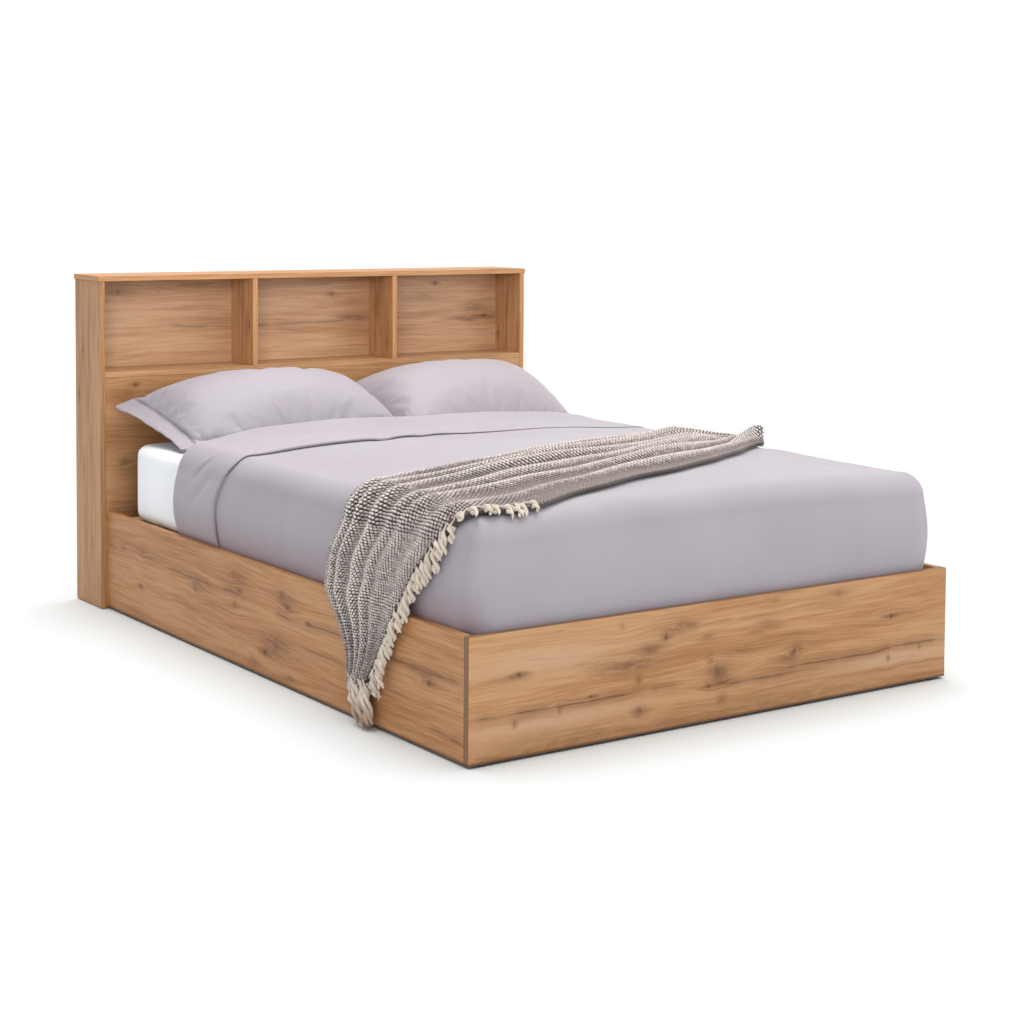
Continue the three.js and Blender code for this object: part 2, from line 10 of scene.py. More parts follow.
import bpy
import numpy as np
from mathutils import Matrix, Vector


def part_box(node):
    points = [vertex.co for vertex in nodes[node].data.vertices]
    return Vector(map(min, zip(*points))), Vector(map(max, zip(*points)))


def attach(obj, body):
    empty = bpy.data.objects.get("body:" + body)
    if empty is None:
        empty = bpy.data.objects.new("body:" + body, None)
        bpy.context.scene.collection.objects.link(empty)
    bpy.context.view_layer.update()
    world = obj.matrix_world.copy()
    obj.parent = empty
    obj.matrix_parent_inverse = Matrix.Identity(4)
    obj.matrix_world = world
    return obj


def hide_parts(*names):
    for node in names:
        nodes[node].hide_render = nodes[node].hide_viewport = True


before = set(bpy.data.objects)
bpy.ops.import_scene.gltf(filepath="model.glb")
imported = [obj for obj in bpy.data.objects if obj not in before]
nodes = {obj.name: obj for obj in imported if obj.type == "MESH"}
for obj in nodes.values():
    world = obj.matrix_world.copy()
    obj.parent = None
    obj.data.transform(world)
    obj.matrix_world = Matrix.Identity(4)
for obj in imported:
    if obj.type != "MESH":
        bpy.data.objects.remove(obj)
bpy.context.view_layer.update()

X, Y, Z = 0, 1, 2

# %% [markdown]
# The camera stands where the photographer stood: left of the foot end, at about shoulder height,
# with a long lens. Turning the camera to place the bed would change how its edges run together, so
# a small shift of the lens puts the bed in its place in the picture instead.

# %% Camera
camera_place = Vector((-2.907, -4.603, 1.222))
camera_azimuth = math.radians(-36.791)
camera_elevation = math.radians(3.397)
camera_roll = math.radians(0.595)
camera_lens = 70.24
camera_shift = (-0.124, -0.198)


def camera_axes(azimuth, elevation, roll):
    """The right, up and back directions of a camera: back points from the scene to the camera."""
    back = Vector((
        math.sin(azimuth) * math.cos(elevation),
        -math.cos(azimuth) * math.cos(elevation),
        math.sin(elevation),
    ))
    level = Vector((math.cos(azimuth), math.sin(azimuth), 0.0))
    upright = back.cross(level)
    right = level * math.cos(roll) + upright * math.sin(roll)
    up = upright * math.cos(roll) - level * math.sin(roll)
    return right, up, back


camera = bpy.data.objects.new("camera", bpy.data.cameras.new("camera"))
bpy.context.scene.collection.objects.link(camera)
axes = Matrix(camera_axes(camera_azimuth, camera_elevation, camera_roll)).transposed()
camera.matrix_world = Matrix.Translation(camera_place) @ axes.to_4x4()
camera.data.lens = camera_lens
camera.data.shift_x, camera.data.shift_y = camera_shift
camera.data.clip_start = 0.1
camera.data.clip_end = 100.0
bpy.context.scene.camera = camera
bpy.context.scene.view_settings.view_transform = "Standard"
print("camera:", camera_lens, "mm lens at", tuple(camera_place))

# %% [markdown]
# Shader trees are easier to read as formulas. A Field stands for a value that varies over a surface,
# and adding or multiplying two fields makes a Math node behind the scenes.


# %% Fields: formulas that become shader nodes
class Field:
    """A number that varies over the surface, held by one output socket of a material's tree."""

    def __init__(self, socket):
        self.socket = socket
        self.tree = socket.id_data

    def math(self, operation, *others):
        """A Math node of that operation on this field and the others, which may be numbers."""
        made = self.tree.nodes.new("ShaderNodeMath")
        made.operation = operation
        plug(self.tree, made, enumerate((self, *others)))
        return Field(made.outputs[0])

    def __add__(self, other):
        return self.math("ADD", other)

    def __sub__(self, other):
        return self.math("SUBTRACT", other)

    def __mul__(self, other):
        return self.math("MULTIPLY", other)

    def __truediv__(self, number):
        return self.math("DIVIDE", number)

    def ramp(self, low, high, start=0.0, end=1.0):
        """start below low, end above high, and a smooth S between them."""
        made = self.tree.nodes.new("ShaderNodeMapRange")
        made.interpolation_type = "SMOOTHSTEP"
        plug(self.tree, made, zip(range(5), (self, low, high, start, end)))
        return Field(made.outputs[0])


def plug(tree, made, values):
    """Sets each numbered input to a value, or links it to a field or socket."""
    for key, value in values:
        if isinstance(value, Field):
            value = value.socket
        if isinstance(value, bpy.types.NodeSocket):
            tree.links.new(value, made.inputs[key])
        else:
            made.inputs[key].default_value = value


def add_node(tree, kind, values=(), **settings):
    """A new node with its settings and its inputs, given as a dict."""
    made = tree.nodes.new(kind)
    for key, value in settings.items():
        setattr(made, key, value)
    plug(tree, made, dict(values).items())
    return made


def noise(tree, place, detail=2.0, roughness=0.5):
    """Fractal noise, about 0.5 on average, at a place given as three fields or numbers."""
    spot = add_node(tree, "ShaderNodeCombineXYZ", dict(enumerate(place)))
    made = add_node(tree, "ShaderNodeTexNoise", {"Vector": spot.outputs[0], "Scale": 1.0,
                                                "Detail": detail, "Roughness": roughness})
    return Field(made.outputs["Fac"])


def blend_colours(tree, share, low, high, kind="MIX"):
    """Mixes two colours by a field, from low at 0 to high at 1."""
    made = add_node(tree, "ShaderNodeMix", data_type="RGBA", blend_type=kind)
    plug(tree, made, [(0, share), (6, low), (7, high)])
    return made.outputs[2]


def colour_ramp(tree, share, stops):
    """A colour for each share, between named stops of (share, colour)."""
    made = add_node(tree, "ShaderNodeValToRGB", {0: share})
    ramp = made.color_ramp
    while len(ramp.elements) < len(stops):
        ramp.elements.new(0.5)
    for element, (place, colour) in zip(ramp.elements, stops):
        element.position = place
        element.color = colour
    return made.outputs[0]


def srgb(red, green, blue):
    """A colour as a picture editor names it, 0 to 255, turned into the light that it stands for."""
    tones = np.array((red, green, blue)) / 255
    light = np.where(tones <= 0.04045, tones / 12.92, ((tones + 0.055) / 1.055) ** 2.4)
    return (*[float(v) for v in light], 1.0)


def new_material(name, roughness, **values):
    """A material with a Principled shader, and the two as (material, tree, shader)."""
    material = bpy.data.materials.new(name)
    material.use_nodes = True
    shader = material.node_tree.nodes["Principled BSDF"]
    shader.inputs["Roughness"].default_value = roughness
    for key, value in values.items():
        shader.inputs[key.replace("_", " ")].default_value = value
    return material, material.node_tree, shader


def add_bump(tree, shader, height, depth, strength):
    """Raises the surface by height times depth metres, as shading only."""
    made = add_node(tree, "ShaderNodeBump", {"Height": height, "Distance": depth, "Strength": strength})
    plug(tree, shader, [("Normal", made.outputs[0])])


# %% [markdown]
# The studio is a white floor that runs to the horizon under a white sky. The sky lights the bed
# softly and shows as plain white only to the camera. A sun lamp with a very wide disc stands in for
# a large window in the roof: it lights the floor evenly out to the horizon, where a near lamp would
# leave it grey, and its wide disc keeps every shadow soft. A soft box over the head end lifts the
# bedding there and others fill the foot end and the far side. They light the bed but not the floor,
# so its soft shadow stays. Two flagged ones reach only one thing each, the shelves and the far
# pillow, which a large bright room would light from all round.

# %% Floor, sky and lamps
FLOOR_WHITE = srgb(241, 246, 248)
sky_level = 0.56
floor_size = 60.0
window_direction = (-0.07, -0.16, -0.98)
window_width = math.radians(58)
window_strength = 2.2


def seen_directly(tree):
    """1 for rays that end in the eye, a mirror or a glass, and 0 for the rays that light things."""
    path = add_node(tree, "ShaderNodeLightPath")
    eye, mirror = Field(path.outputs["Is Camera Ray"]), Field(path.outputs["Is Glossy Ray"])
    glass = Field(path.outputs["Is Transmission Ray"])
    return (eye + mirror + glass).math("MINIMUM", 1.0)


def make_floor():
    """A large flat square at the feet of the bed."""
    half = floor_size / 2
    mesh = bpy.data.meshes.new("floor")
    corners = [(-half, -half, 0), (half, -half, 0), (half, half, 0), (-half, half, 0)]
    mesh.from_pydata(corners, [], [(0, 1, 2, 3)])
    floor = bpy.data.objects.new("floor", mesh)
    bpy.context.scene.collection.objects.link(floor)
    material, _, _ = new_material("floor_white", 0.9, Base_Color=FLOOR_WHITE, Specular_IOR_Level=0.1)
    mesh.materials.append(material)


def make_sky():
    """White to the eye, and an even soft light for everything else."""
    world = bpy.data.worlds.new("sky")
    world.use_nodes = True
    tree = world.node_tree
    strength = seen_directly(tree).ramp(0.0, 1.0, sky_level, 1.0)
    plug(tree, tree.nodes["Background"], [("Color", (1, 1, 1, 1)), ("Strength", strength)])
    bpy.context.scene.world = world


def add_lamp(name, kind, place, direction, energy, colour=(1.0, 1.0, 1.0)):
    """A lamp at place that shines along direction."""
    lamp = bpy.data.objects.new(name, bpy.data.lights.new(name, kind))
    bpy.context.scene.collection.objects.link(lamp)
    lamp.location = place
    lamp.rotation_euler = Vector(direction).to_track_quat("-Z", "Y").to_euler()
    lamp.data.energy = energy
    lamp.data.color = colour
    return lamp


make_floor()
make_sky()
window = add_lamp("window_light", "SUN", (-3, -3, 4), window_direction, window_strength, (1.0, 0.99, 0.97))
window.data.angle = window_width
soft_boxes = [
    ("overhead_light", (-0.2, 0.2, 2.3), (0.08, 0.30, -1.0), 20.0, 1.4),
    ("front_light", (-1.5, -4.3, 1.8), (0.34, 1.0, -0.33), 55.0, 2.0),
    ("right_light", (2.4, -2.2, 1.9), (-1.9, 1.5, -1.4), 30.0, 1.6),
    ("shelf_light", (-2.9, -3.3, 1.9), (2.9, 4.25, -1.05), 92.0, 1.2),
    ("far_pillow_light", (-1.9, -1.6, 2.1), (2.1, 2.3, -1.45), 26.0, 1.0),
]
off_the_floor = bpy.data.collections.new("all_but_the_floor")
off_the_floor.objects.link(bpy.data.objects["floor"])
off_the_floor.collection_objects[0].light_linking.link_state = "EXCLUDE"
on_the_shelves = bpy.data.collections.new("shelf_boards")
for name, node in nodes.items():
    faces_the_shelves = not name.endswith(("front_panel", "side_left")) and "glide" not in name
    if name.startswith("headboard_") and faces_the_shelves:
        on_the_shelves.objects.link(node)
on_the_far_pillow = bpy.data.collections.new("far_pillow")
receivers = {"shelf_light": on_the_shelves, "far_pillow_light": on_the_far_pillow}
for name, place, direction, energy, size in soft_boxes:
    lamp = add_lamp(name, "AREA", place, direction, energy)
    lamp.data.size = size
    lamp.light_linking.receiver_collection = receivers.get(name, off_the_floor)
print("studio: sky at", sky_level, "with a window and", len(soft_boxes), "soft boxes")

# %% [markdown]
# The laminate is a print of old knotty oak: a honey-coloured ground, long brown streaks that run round the
# knots, and thin dark splits. Every board is described in its own directions: along the grain, across it and
# through the board. The streaks are noise drawn out along the grain, and a knot pushes the lines of the
# grain aside, so that they flow round it. Marks are placed one by one, in metres, where the real boards show
# them. A knot or a smear is its place along and across the grain, its two half-sizes and, where it is faint,
# its weight.

# %% Print of the laminate
PALE_OAK = srgb(187, 143, 102)
HONEY_OAK = srgb(173, 126, 84)
BROWN_OAK = srgb(149, 104, 64)
DEEP_OAK = srgb(116, 79, 52)
SPLIT_BROWN = srgb(96, 65, 46)
KNOT_BROWN = srgb(72, 49, 35)
BLEACHED_OAK = srgb(188, 154, 123)
# The brown of the dark lines at the joints and at the banding of the edges, and of the painted shade over
# the foot panel's edges and the painted shadow along the foot of the boards near the floor.
JOINT_LINE_AND_PAINTED_SHADE = srgb(88, 62, 44)
face_stops = [(0.0, BROWN_OAK), (0.38, HONEY_OAK), (0.7, PALE_OAK), (1.0, PALE_OAK)]
edge_stops = [(0.0, BROWN_OAK), (0.4, HONEY_OAK), (1.0, PALE_OAK)]
face_shares = (0.33, 0.39, 0.28)
# Each noise of the print: its rates per metre along and across the grain, the shift of its seed,
# its detail and its roughness.
print_noises = {
    "meander": (1.5, 5.0, 3.1, 2.0, 0.5), "broad": (0.9, 9.0, 0.0, 2.0, 0.5),
    "streak": (2.4, 46.0, 7.3, 5.0, 0.70), "fibre": (8.0, 250.0, 1.7, 3.0, 0.5),
    "mineral": (1.3, 30.0, 12.9, 4.0, 0.6), "fleck": (26.0, 240.0, 5.1, 2.0, 0.5),
    "pore": (45.0, 900.0, 0.0, 1.0, 0.5), "mottle": (20.0, 90.0, 2.2, 5.0, 0.7),
    "rough": (110.0, 230.0, 0.0, 4.0, 0.7), "feather": (18.0, 150.0, 6.4, 4.0, 0.65),
}
# Each ramp of the print: the two values it runs between, and the strength at either end.
print_ramps = {
    "tone": (0.31, 0.69), "mineral": (0.58, 0.76, 0.0, 0.46), "fleck": (0.62, 0.74, 0.0, 0.35),
    "mottle": (0.30, 0.62, 0.30, 1.0), "pale": (0.35, 0.6, 0.35, 1.0), "force": (0.36, 0.58, 0.35, 0.85),
    "hole": (0.52, 1.08, 0.0, 0.78), "ring": (0.04, 0.80, 0.0, 0.50), "wisp": (0.30, 0.95, 0.0, 0.60),
    "band": (0.3, 0.7), "turned": (0.4, 0.6, 1.0, 0.0), "gloss": (0.3, 0.7, 0.56, 0.42),
}
meander_reach = 0.06
knot_push = 0.6
knot_tail = 3.4
smear_push = 0.45
smear_strength = 0.92
pale_strength = 0.75
split_wander = 0.045
split_fade = 0.03


def board_place(tree, grain, across, through):
    """The board's own coordinates in metres: along the grain, across it and through the board."""
    spot = add_node(tree, "ShaderNodeTexCoord").outputs["Object"]
    split = add_node(tree, "ShaderNodeSeparateXYZ", {0: spot})
    return [Field(split.outputs[axis]) for axis in (grain, across, through)]


def print_noise(tree, kind, along, line, seed):
    """One of the print's noises, drawn out along the grain."""
    rate_along, rate_across, shift, detail, roughness = print_noises[kind]
    return noise(tree, (along * rate_along, line * rate_across, seed + shift), detail, roughness)


def mark_mask(along, across, mark):
    """How near a point is to a mark: its weight in its middle, falling as a bell over its two
    half-sizes."""
    place_along, place_across, half_along, half_across, *weight = mark
    x = (along - place_along) * (1 / half_along)
    y = (across - place_across) * (1 / half_across)
    bell = ((x * x + y * y) * -1.0).math("EXPONENT")
    return bell * weight[0] if weight else bell


def strongest(masks):
    """The greatest of several masks at each point."""
    greatest = masks[0]
    for mask in masks[1:]:
        greatest = greatest.math("MAXIMUM", mask)
    return greatest


def split_mask(tree, along, across, split, seed):
    """A thin dark line near one height, wandering and fading, between two places along the grain."""
    height, start, stop, half_width = split
    wander = (noise(tree, (along * 2.6, height * 9, seed), 3.0) - 0.5) * split_wander
    off = (across - height + wander).math("ABSOLUTE")
    begun = along.ramp(start - split_fade, start + split_fade)
    inside = begun * along.ramp(stop - split_fade, stop + split_fade, 1.0, 0.0)
    force = noise(tree, (along * 11, height * 7, seed), 2.0).ramp(*print_ramps["force"])
    line = off.ramp(0.0, half_width * 1.2, 1.0, 0.0)
    glow = off.ramp(0.0, half_width * 6, 0.42, 0.0)
    return line.math("MAXIMUM", glow) * inside * force


def grain_line(tree, places, knots, smears, clouds, seed):
    """Which line of the grain a point lies on, in metres: its place across the board with a slow
    meander, pushed aside by every knot and smear near it."""
    along, across, through = places
    meander = (print_noise(tree, "meander", along, across, seed) - 0.5) * meander_reach
    line = across + through * 0.9 + meander
    for knot in knots:
        wide = (knot[0], knot[1], knot[2] * 2.4 + 0.018, knot[3] * 1.5 + 0.007)
        line = line - (across - knot[1]) * mark_mask(along, across, wide) * knot_push
    for smear, cloud in zip(smears, clouds):
        line = line - (across - smear[1]) * cloud * smear_push
    return line


def plain_print(tree, along, line, streak, fibre, seed):
    """The print between its marks: broad bands, streaks and fibres, dark lines and short flecks."""
    broad = print_noise(tree, "broad", along, line, seed)
    tone = broad * face_shares[0] + streak * face_shares[1] + fibre * face_shares[2]
    colour = colour_ramp(tree, tone.ramp(*print_ramps["tone"]), face_stops)
    for kind, dark in (("mineral", DEEP_OAK), ("fleck", BROWN_OAK)):
        marks = print_noise(tree, kind, along, line, seed).ramp(*print_ramps[kind])
        colour = blend_colours(tree, marks, colour, dark)
    return colour


def knotted(tree, colour, places, line, knots, seed):
    """Adds the knots: a dark hole with a ragged rim, a brown ring round it, and wisps that are drawn
    out along the grain."""
    along, across = places[:2]
    rough = print_noise(tree, "rough", along, across, seed) - 0.5
    feather = print_noise(tree, "feather", along, line, seed) - 0.5
    core = strongest([mark_mask(along, across, knot) for knot in knots])
    drawn_out = [(*knot[:2], knot[2] * knot_tail, *knot[3:]) for knot in knots]
    tail = strongest([mark_mask(along, across, knot) for knot in drawn_out])
    hole = (core + rough).ramp(*print_ramps["hole"])
    ring = (core + rough * 0.35).ramp(*print_ramps["ring"])
    wisp = (tail + feather * 1.1).ramp(*print_ramps["wisp"])
    colour = blend_colours(tree, ring.math("MAXIMUM", wisp), colour, DEEP_OAK)
    return blend_colours(tree, hole, colour, KNOT_BROWN)


def edge_banded(tree, colour, places, axes, arris, seed):
    """Gives the narrow edges a grain of their own, and where arris is given, painted shade all over them
    with the dark line of the banding at each arris.
    """
    along, across, through = places
    normal = add_node(tree, "ShaderNodeTexCoord").outputs["Normal"]
    facing = Field(add_node(tree, "ShaderNodeSeparateXYZ", {0: normal}).outputs[axes[2]])
    on_edge = facing.math("ABSOLUTE").ramp(*print_ramps["turned"])
    edge_grain = noise(tree, (through * 330.0, (along + across) * 5.0, seed + 9.0), 4.0, 0.6)
    band = colour_ramp(tree, edge_grain.ramp(*print_ramps["band"]), edge_stops)
    colour = blend_colours(tree, on_edge, colour, band)
    if arris is None:
        return colour
    middle, half = arris
    # Painted shade over the whole narrow edge, strongest near each arris where the dark line of the banding
    # runs.
    out = (through - middle).math("ABSOLUTE").ramp(half - 0.0026, half - 0.0004, 0.60, 0.76)
    return blend_colours(tree, out * on_edge, colour, JOINT_LINE_AND_PAINTED_SHADE)


# %% [markdown]
# The finish of one board lays these over each other: the plain print, then smears, bleached bands, splits
# and knots, then the edges and the dark lines at the joints. Where it is asked for, the narrow edges take
# painted shade all over, and the boards that stand just off the floor take a painted shadow along their
# foot. One function makes them all, so that every board is the same laminate, and each board differs by its
# seed, its marks and a slight colour that multiplies it, which is painted light and shade for where the
# board stands.

# %% Finish of a board
def oak(name, axes, knots=(), smears=(), splits=(), joints=(), seed=0.0, tint=(1.0, 1.0, 1.0),
        arris=None, pales=(), shine=0.22):
    """Oak laminate for one board. axes are the grain, across and through axes as numbers 0 to 2. A joint is
    an axis of the board, a place along it and the reach of the dark line there: where it meets the next
    board the line is a dark joint, and along the foot of a board that stands just off the floor it is a
    painted shadow. arris is the middle and half-thickness of a board whose edges show the line of their
    banding at each arris, with painted shade all over the edge between. pales are bleached bands, given as
    smears are, and shine is the strength of the reflection. tint is painted light and shade for where the
    board stands, and multiplies the board's own print."""
    material, tree, shader = new_material(name, 0.5, Specular_IOR_Level=shine)
    places = board_place(tree, *axes)
    along, across = places[:2]
    clouds = [mark_mask(along, across, smear) for smear in smears]
    line = grain_line(tree, places, knots, smears, clouds, seed)
    kinds = ("streak", "fibre", "pore")
    streak, fibre, pore = [print_noise(tree, kind, along, line, seed) for kind in kinds]
    colour = plain_print(tree, along, line, streak, fibre, seed)
    if clouds:
        mottle = print_noise(tree, "mottle", along, line, seed).ramp(*print_ramps["mottle"])
        colour = blend_colours(tree, strongest(clouds) * mottle * smear_strength, colour, DEEP_OAK)
    for band in pales:
        pale = mark_mask(along, across, band) * streak.ramp(*print_ramps["pale"]) * pale_strength
        colour = blend_colours(tree, pale, colour, BLEACHED_OAK)
    for split in splits:
        colour = blend_colours(tree, split_mask(tree, along, across, split, seed), colour, SPLIT_BROWN)
    if knots:
        colour = knotted(tree, colour, places, line, knots, seed)
    colour = edge_banded(tree, colour, places, axes, arris, seed)
    for axis, place, reach in joints:
        shade = (places[axis] - place).math("ABSOLUTE").ramp(reach * 0.4, reach, 0.75, 0.0)
        colour = blend_colours(tree, shade, colour, JOINT_LINE_AND_PAINTED_SHADE)
    # Painted light and shade: the board's colour multiplied by a colour chosen for where it stands.
    colour = blend_colours(tree, 1.0, colour, (*tint, 1.0), "MULTIPLY")
    plug(tree, shader, [("Base Color", colour), ("Roughness", fibre.ramp(*print_ramps["gloss"]))])
    add_bump(tree, shader, pore * 0.5 + streak * 0.5, 0.0006, 0.35)
    return material


def dress(names, material):
    """Gives CAD nodes a material in place of the one they came with."""
    for name in names:
        node = nodes[name]
        node.data.materials.clear()
        node.data.materials.append(material)


def dress_board(node, name, axes, **look):
    """Gives one board an oak laminate of its own."""
    dress([node], oak(name, axes, **look))

# %% [markdown]
# The knots of the foot panel and of the near rail are the ones that catch the eye, so each of them
# has its place here, along the grain first and then across it. A smear is the brown cloud round a
# group of knots, and a split is a line with its height, its two ends and its half-width.

# %% Boards of the base
# The grain, across and through axes of a board, by the way it is built in.
LEVEL = (X, Z, Y)
LENGTHWISE = (Y, Z, X)
UPRIGHT = (Z, Y, X)
LYING = (X, Y, Z)

foot_low, foot_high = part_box("foot_panel")
rail_outer = foot_high[X]
rail_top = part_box("side_rail_left")[1][Z]
head_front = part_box("headboard_front_panel")[0][Y]
case_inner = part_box("headboard_side_right")[0][X]
joint_reach = 0.0016
# A painted shadow, not a joint: the bottom 7 mm of a board that stands just off the floor is darkened where
# the gap under it is dark.
painted_foot_shadow = (1, foot_low[Z], 0.007)
rail_joints_and_foot_shadow = [(0, foot_high[Y], joint_reach), (0, head_front, joint_reach), painted_foot_shadow]
foot_arris = ((foot_low[Y] + foot_high[Y]) / 2, (foot_high[Y] - foot_low[Y]) / 2)

foot_knots = [
    (-0.579, 0.186, 0.011, 0.008), (-0.590, 0.080, 0.004, 0.014, 0.8), (-0.473, 0.093, 0.004, 0.013, 0.7),
    (-0.389, 0.111, 0.007, 0.005), (-0.258, 0.060, 0.014, 0.011, 0.8), (-0.183, 0.217, 0.009, 0.011),
    (-0.306, 0.257, 0.010, 0.012, 0.5), (-0.059, 0.087, 0.009, 0.007), (-0.036, 0.122, 0.014, 0.018, 0.8),
    (0.202, 0.135, 0.010, 0.012, 0.9), (0.141, 0.262, 0.012, 0.009, 0.5), (0.344, 0.255, 0.016, 0.012, 0.6),
    (0.517, 0.181, 0.010, 0.008), (0.617, 0.094, 0.004, 0.013, 0.7), (0.509, 0.077, 0.004, 0.013, 0.8),
]
foot_smears = [
    (-0.29, 0.165, 0.090, 0.020), (-0.23, 0.195, 0.050, 0.016), (-0.15, 0.235, 0.060, 0.018),
    (-0.26, 0.130, 0.012, 0.020, 0.8), (-0.03, 0.110, 0.045, 0.030), (-0.055, 0.150, 0.014, 0.016, 0.8),
    (0.03, 0.155, 0.080, 0.008, 0.6), (0.12, 0.215, 0.035, 0.016, 0.6), (0.08, 0.195, 0.030, 0.008, 0.6),
    (-0.02, 0.050, 0.020, 0.022, 0.7), (0.18, 0.120, 0.050, 0.014, 0.8), (0.21, 0.140, 0.022, 0.016, 0.8),
    (-0.60, 0.180, 0.070, 0.010, 0.6), (0.53, 0.183, 0.060, 0.009, 0.7), (-0.40, 0.185, 0.10, 0.006, 0.5),
    (0.12, 0.016, 0.60, 0.034, 0.55), (-0.45, 0.018, 0.32, 0.036, 0.60), (0.05, 0.232, 0.26, 0.006, 0.45),
    (0.35, 0.262, 0.05, 0.012, 0.4), (0.15, 0.280, 0.030, 0.018, 0.4), (-0.255, 0.055, 0.03, 0.022, 0.5),
    (-0.34, 0.174, 0.060, 0.011, 0.8), (-0.118, 0.236, 0.036, 0.013, 0.9), (-0.062, 0.202, 0.03, 0.010, 0.8),
    (-0.018, 0.092, 0.036, 0.010), (0.197, 0.126, 0.018, 0.020), (-0.26, 0.056, 0.020, 0.016, 0.8),
]
foot_pales = [(-0.50, 0.075, 0.22, 0.016), (0.50, 0.075, 0.26, 0.018), (-0.48, 0.215, 0.20, 0.030)]
foot_splits = [(0.104, -0.71, -0.16, 0.0042), (0.086, -0.03, 0.20, 0.0044), (0.100, 0.17, 0.71, 0.0042)]
rail_knots = [
    (0.652, 0.104, 0.012, 0.008), (0.634, 0.211, 0.005, 0.012, 0.6), (0.287, 0.161, 0.016, 0.014, 0.7),
    (0.054, 0.237, 0.012, 0.012, 0.6), (0.020, 0.197, 0.010, 0.006), (0.048, 0.158, 0.012, 0.016, 0.7),
    (-0.214, 0.227, 0.010, 0.016, 0.8), (-0.246, 0.200, 0.012, 0.010), (-0.352, 0.180, 0.010, 0.006),
    (-0.122, 0.067, 0.016, 0.012), (-0.258, 0.029, 0.012, 0.008, 0.7), (-0.914, 0.152, 0.011, 0.009),
]
rail_smears = [
    (-0.18, 0.095, 0.075, 0.030), (0.03, 0.220, 0.060, 0.030, 0.6), (-0.23, 0.215, 0.060, 0.022, 0.7),
    (0.28, 0.170, 0.050, 0.018, 0.6), (-0.90, 0.165, 0.060, 0.020, 0.7), (-0.06, 0.030, 0.040, 0.016, 0.7),
]
rail_splits = [(0.189, 0.0, 0.88, 0.0034), (0.181, -1.06, -0.18, 0.0034), (0.056, -1.06, -0.93, 0.0030)]

# The colours that multiply these two boards are painted light and shade: the foot panel's darkens it a
# little, and the near rail's warms it as painted warm light on its shaded side.
dress_board("foot_panel", "oak_foot_panel", LEVEL, knots=foot_knots, smears=foot_smears, splits=foot_splits,
            joints=[painted_foot_shadow], tint=(0.955, 0.97, 1.0), arris=foot_arris, pales=foot_pales)
dress_board("side_rail_left", "oak_rail_left", LENGTHWISE, knots=rail_knots, smears=rail_smears,
            splits=rail_splits, joints=rail_joints_and_foot_shadow, seed=4.0, tint=(1.02, 0.965, 0.91))
dress_board("side_rail_right", "oak_rail_right", LENGTHWISE,
            knots=[(-0.62, 0.12, 0.012, 0.009), (-0.10, 0.205, 0.010, 0.008), (0.41, 0.09, 0.012, 0.010)],
            smears=[(-0.60, 0.13, 0.060, 0.020), (0.40, 0.10, 0.050, 0.022)],
            splits=[(0.160, -0.80, 0.50, 0.0022)], joints=rail_joints_and_foot_shadow, seed=9.0)
print("base boards:", len(foot_knots) + len(rail_knots), "knots on the two boards in front")

# %% [markdown]
# The case of the headboard stands with the grain of its sides and dividers upright, and the grain
# of its long boards runs level. Thin dark lines mark where two boards meet.

# %% Boards of the headboard
shelf_under, shelf_top = [corner[Z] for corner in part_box("headboard_shelf")]
top_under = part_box("headboard_top")[0][Z]
side_joints = [(0, -case_inner, joint_reach), (0, case_inner, joint_reach)]
case_joint = (0, top_under, joint_reach)
divider_joints = [(0, shelf_top, joint_reach), case_joint]

dress_board("headboard_front_panel", "oak_front_panel", LEVEL,
            knots=[(-0.620, 0.646, 0.010, 0.010), (-0.655, 0.425, 0.010, 0.014, 0.7),
                   (0.02, 0.56, 0.012, 0.010), (0.43, 0.35, 0.012, 0.010)],
            smears=[(-0.655, 0.62, 0.050, 0.022, 0.8), (-0.64, 0.40, 0.040, 0.030, 0.6)],
            splits=[(0.590, -0.70, 0.10, 0.0020)],
            joints=[*side_joints, (1, shelf_under, joint_reach)], seed=13.0)
# The colour that multiplies the back panel makes it paler and greyer: painted light inside the shelves.
dress_board("headboard_back_panel", "oak_back_panel", LEVEL,
            knots=[(-0.609, 0.907, 0.014, 0.010, 0.8), (-0.485, 0.904, 0.010, 0.007, 0.6),
                   (0.096, 0.885, 0.009, 0.010, 0.9), (0.477, 0.912, 0.009, 0.009),
                   (0.665, 0.801, 0.020, 0.008), (0.610, 0.788, 0.014, 0.008, 0.8)],
            smears=[(-0.36, 0.924, 0.14, 0.010, 0.6), (0.177, 0.811, 0.060, 0.012, 0.9),
                    (0.42, 0.870, 0.080, 0.022, 0.7), (0.62, 0.832, 0.055, 0.018, 0.8),
                    (-0.60, 0.90, 0.06, 0.02, 0.6)],
            splits=[(0.800, -0.45, 0.22, 0.0020), (0.795, 0.52, 0.70, 0.0024)],
            joints=[(1, shelf_top, 0.002)], seed=17.0, tint=(0.985, 1.06, 1.20), shine=0.6)
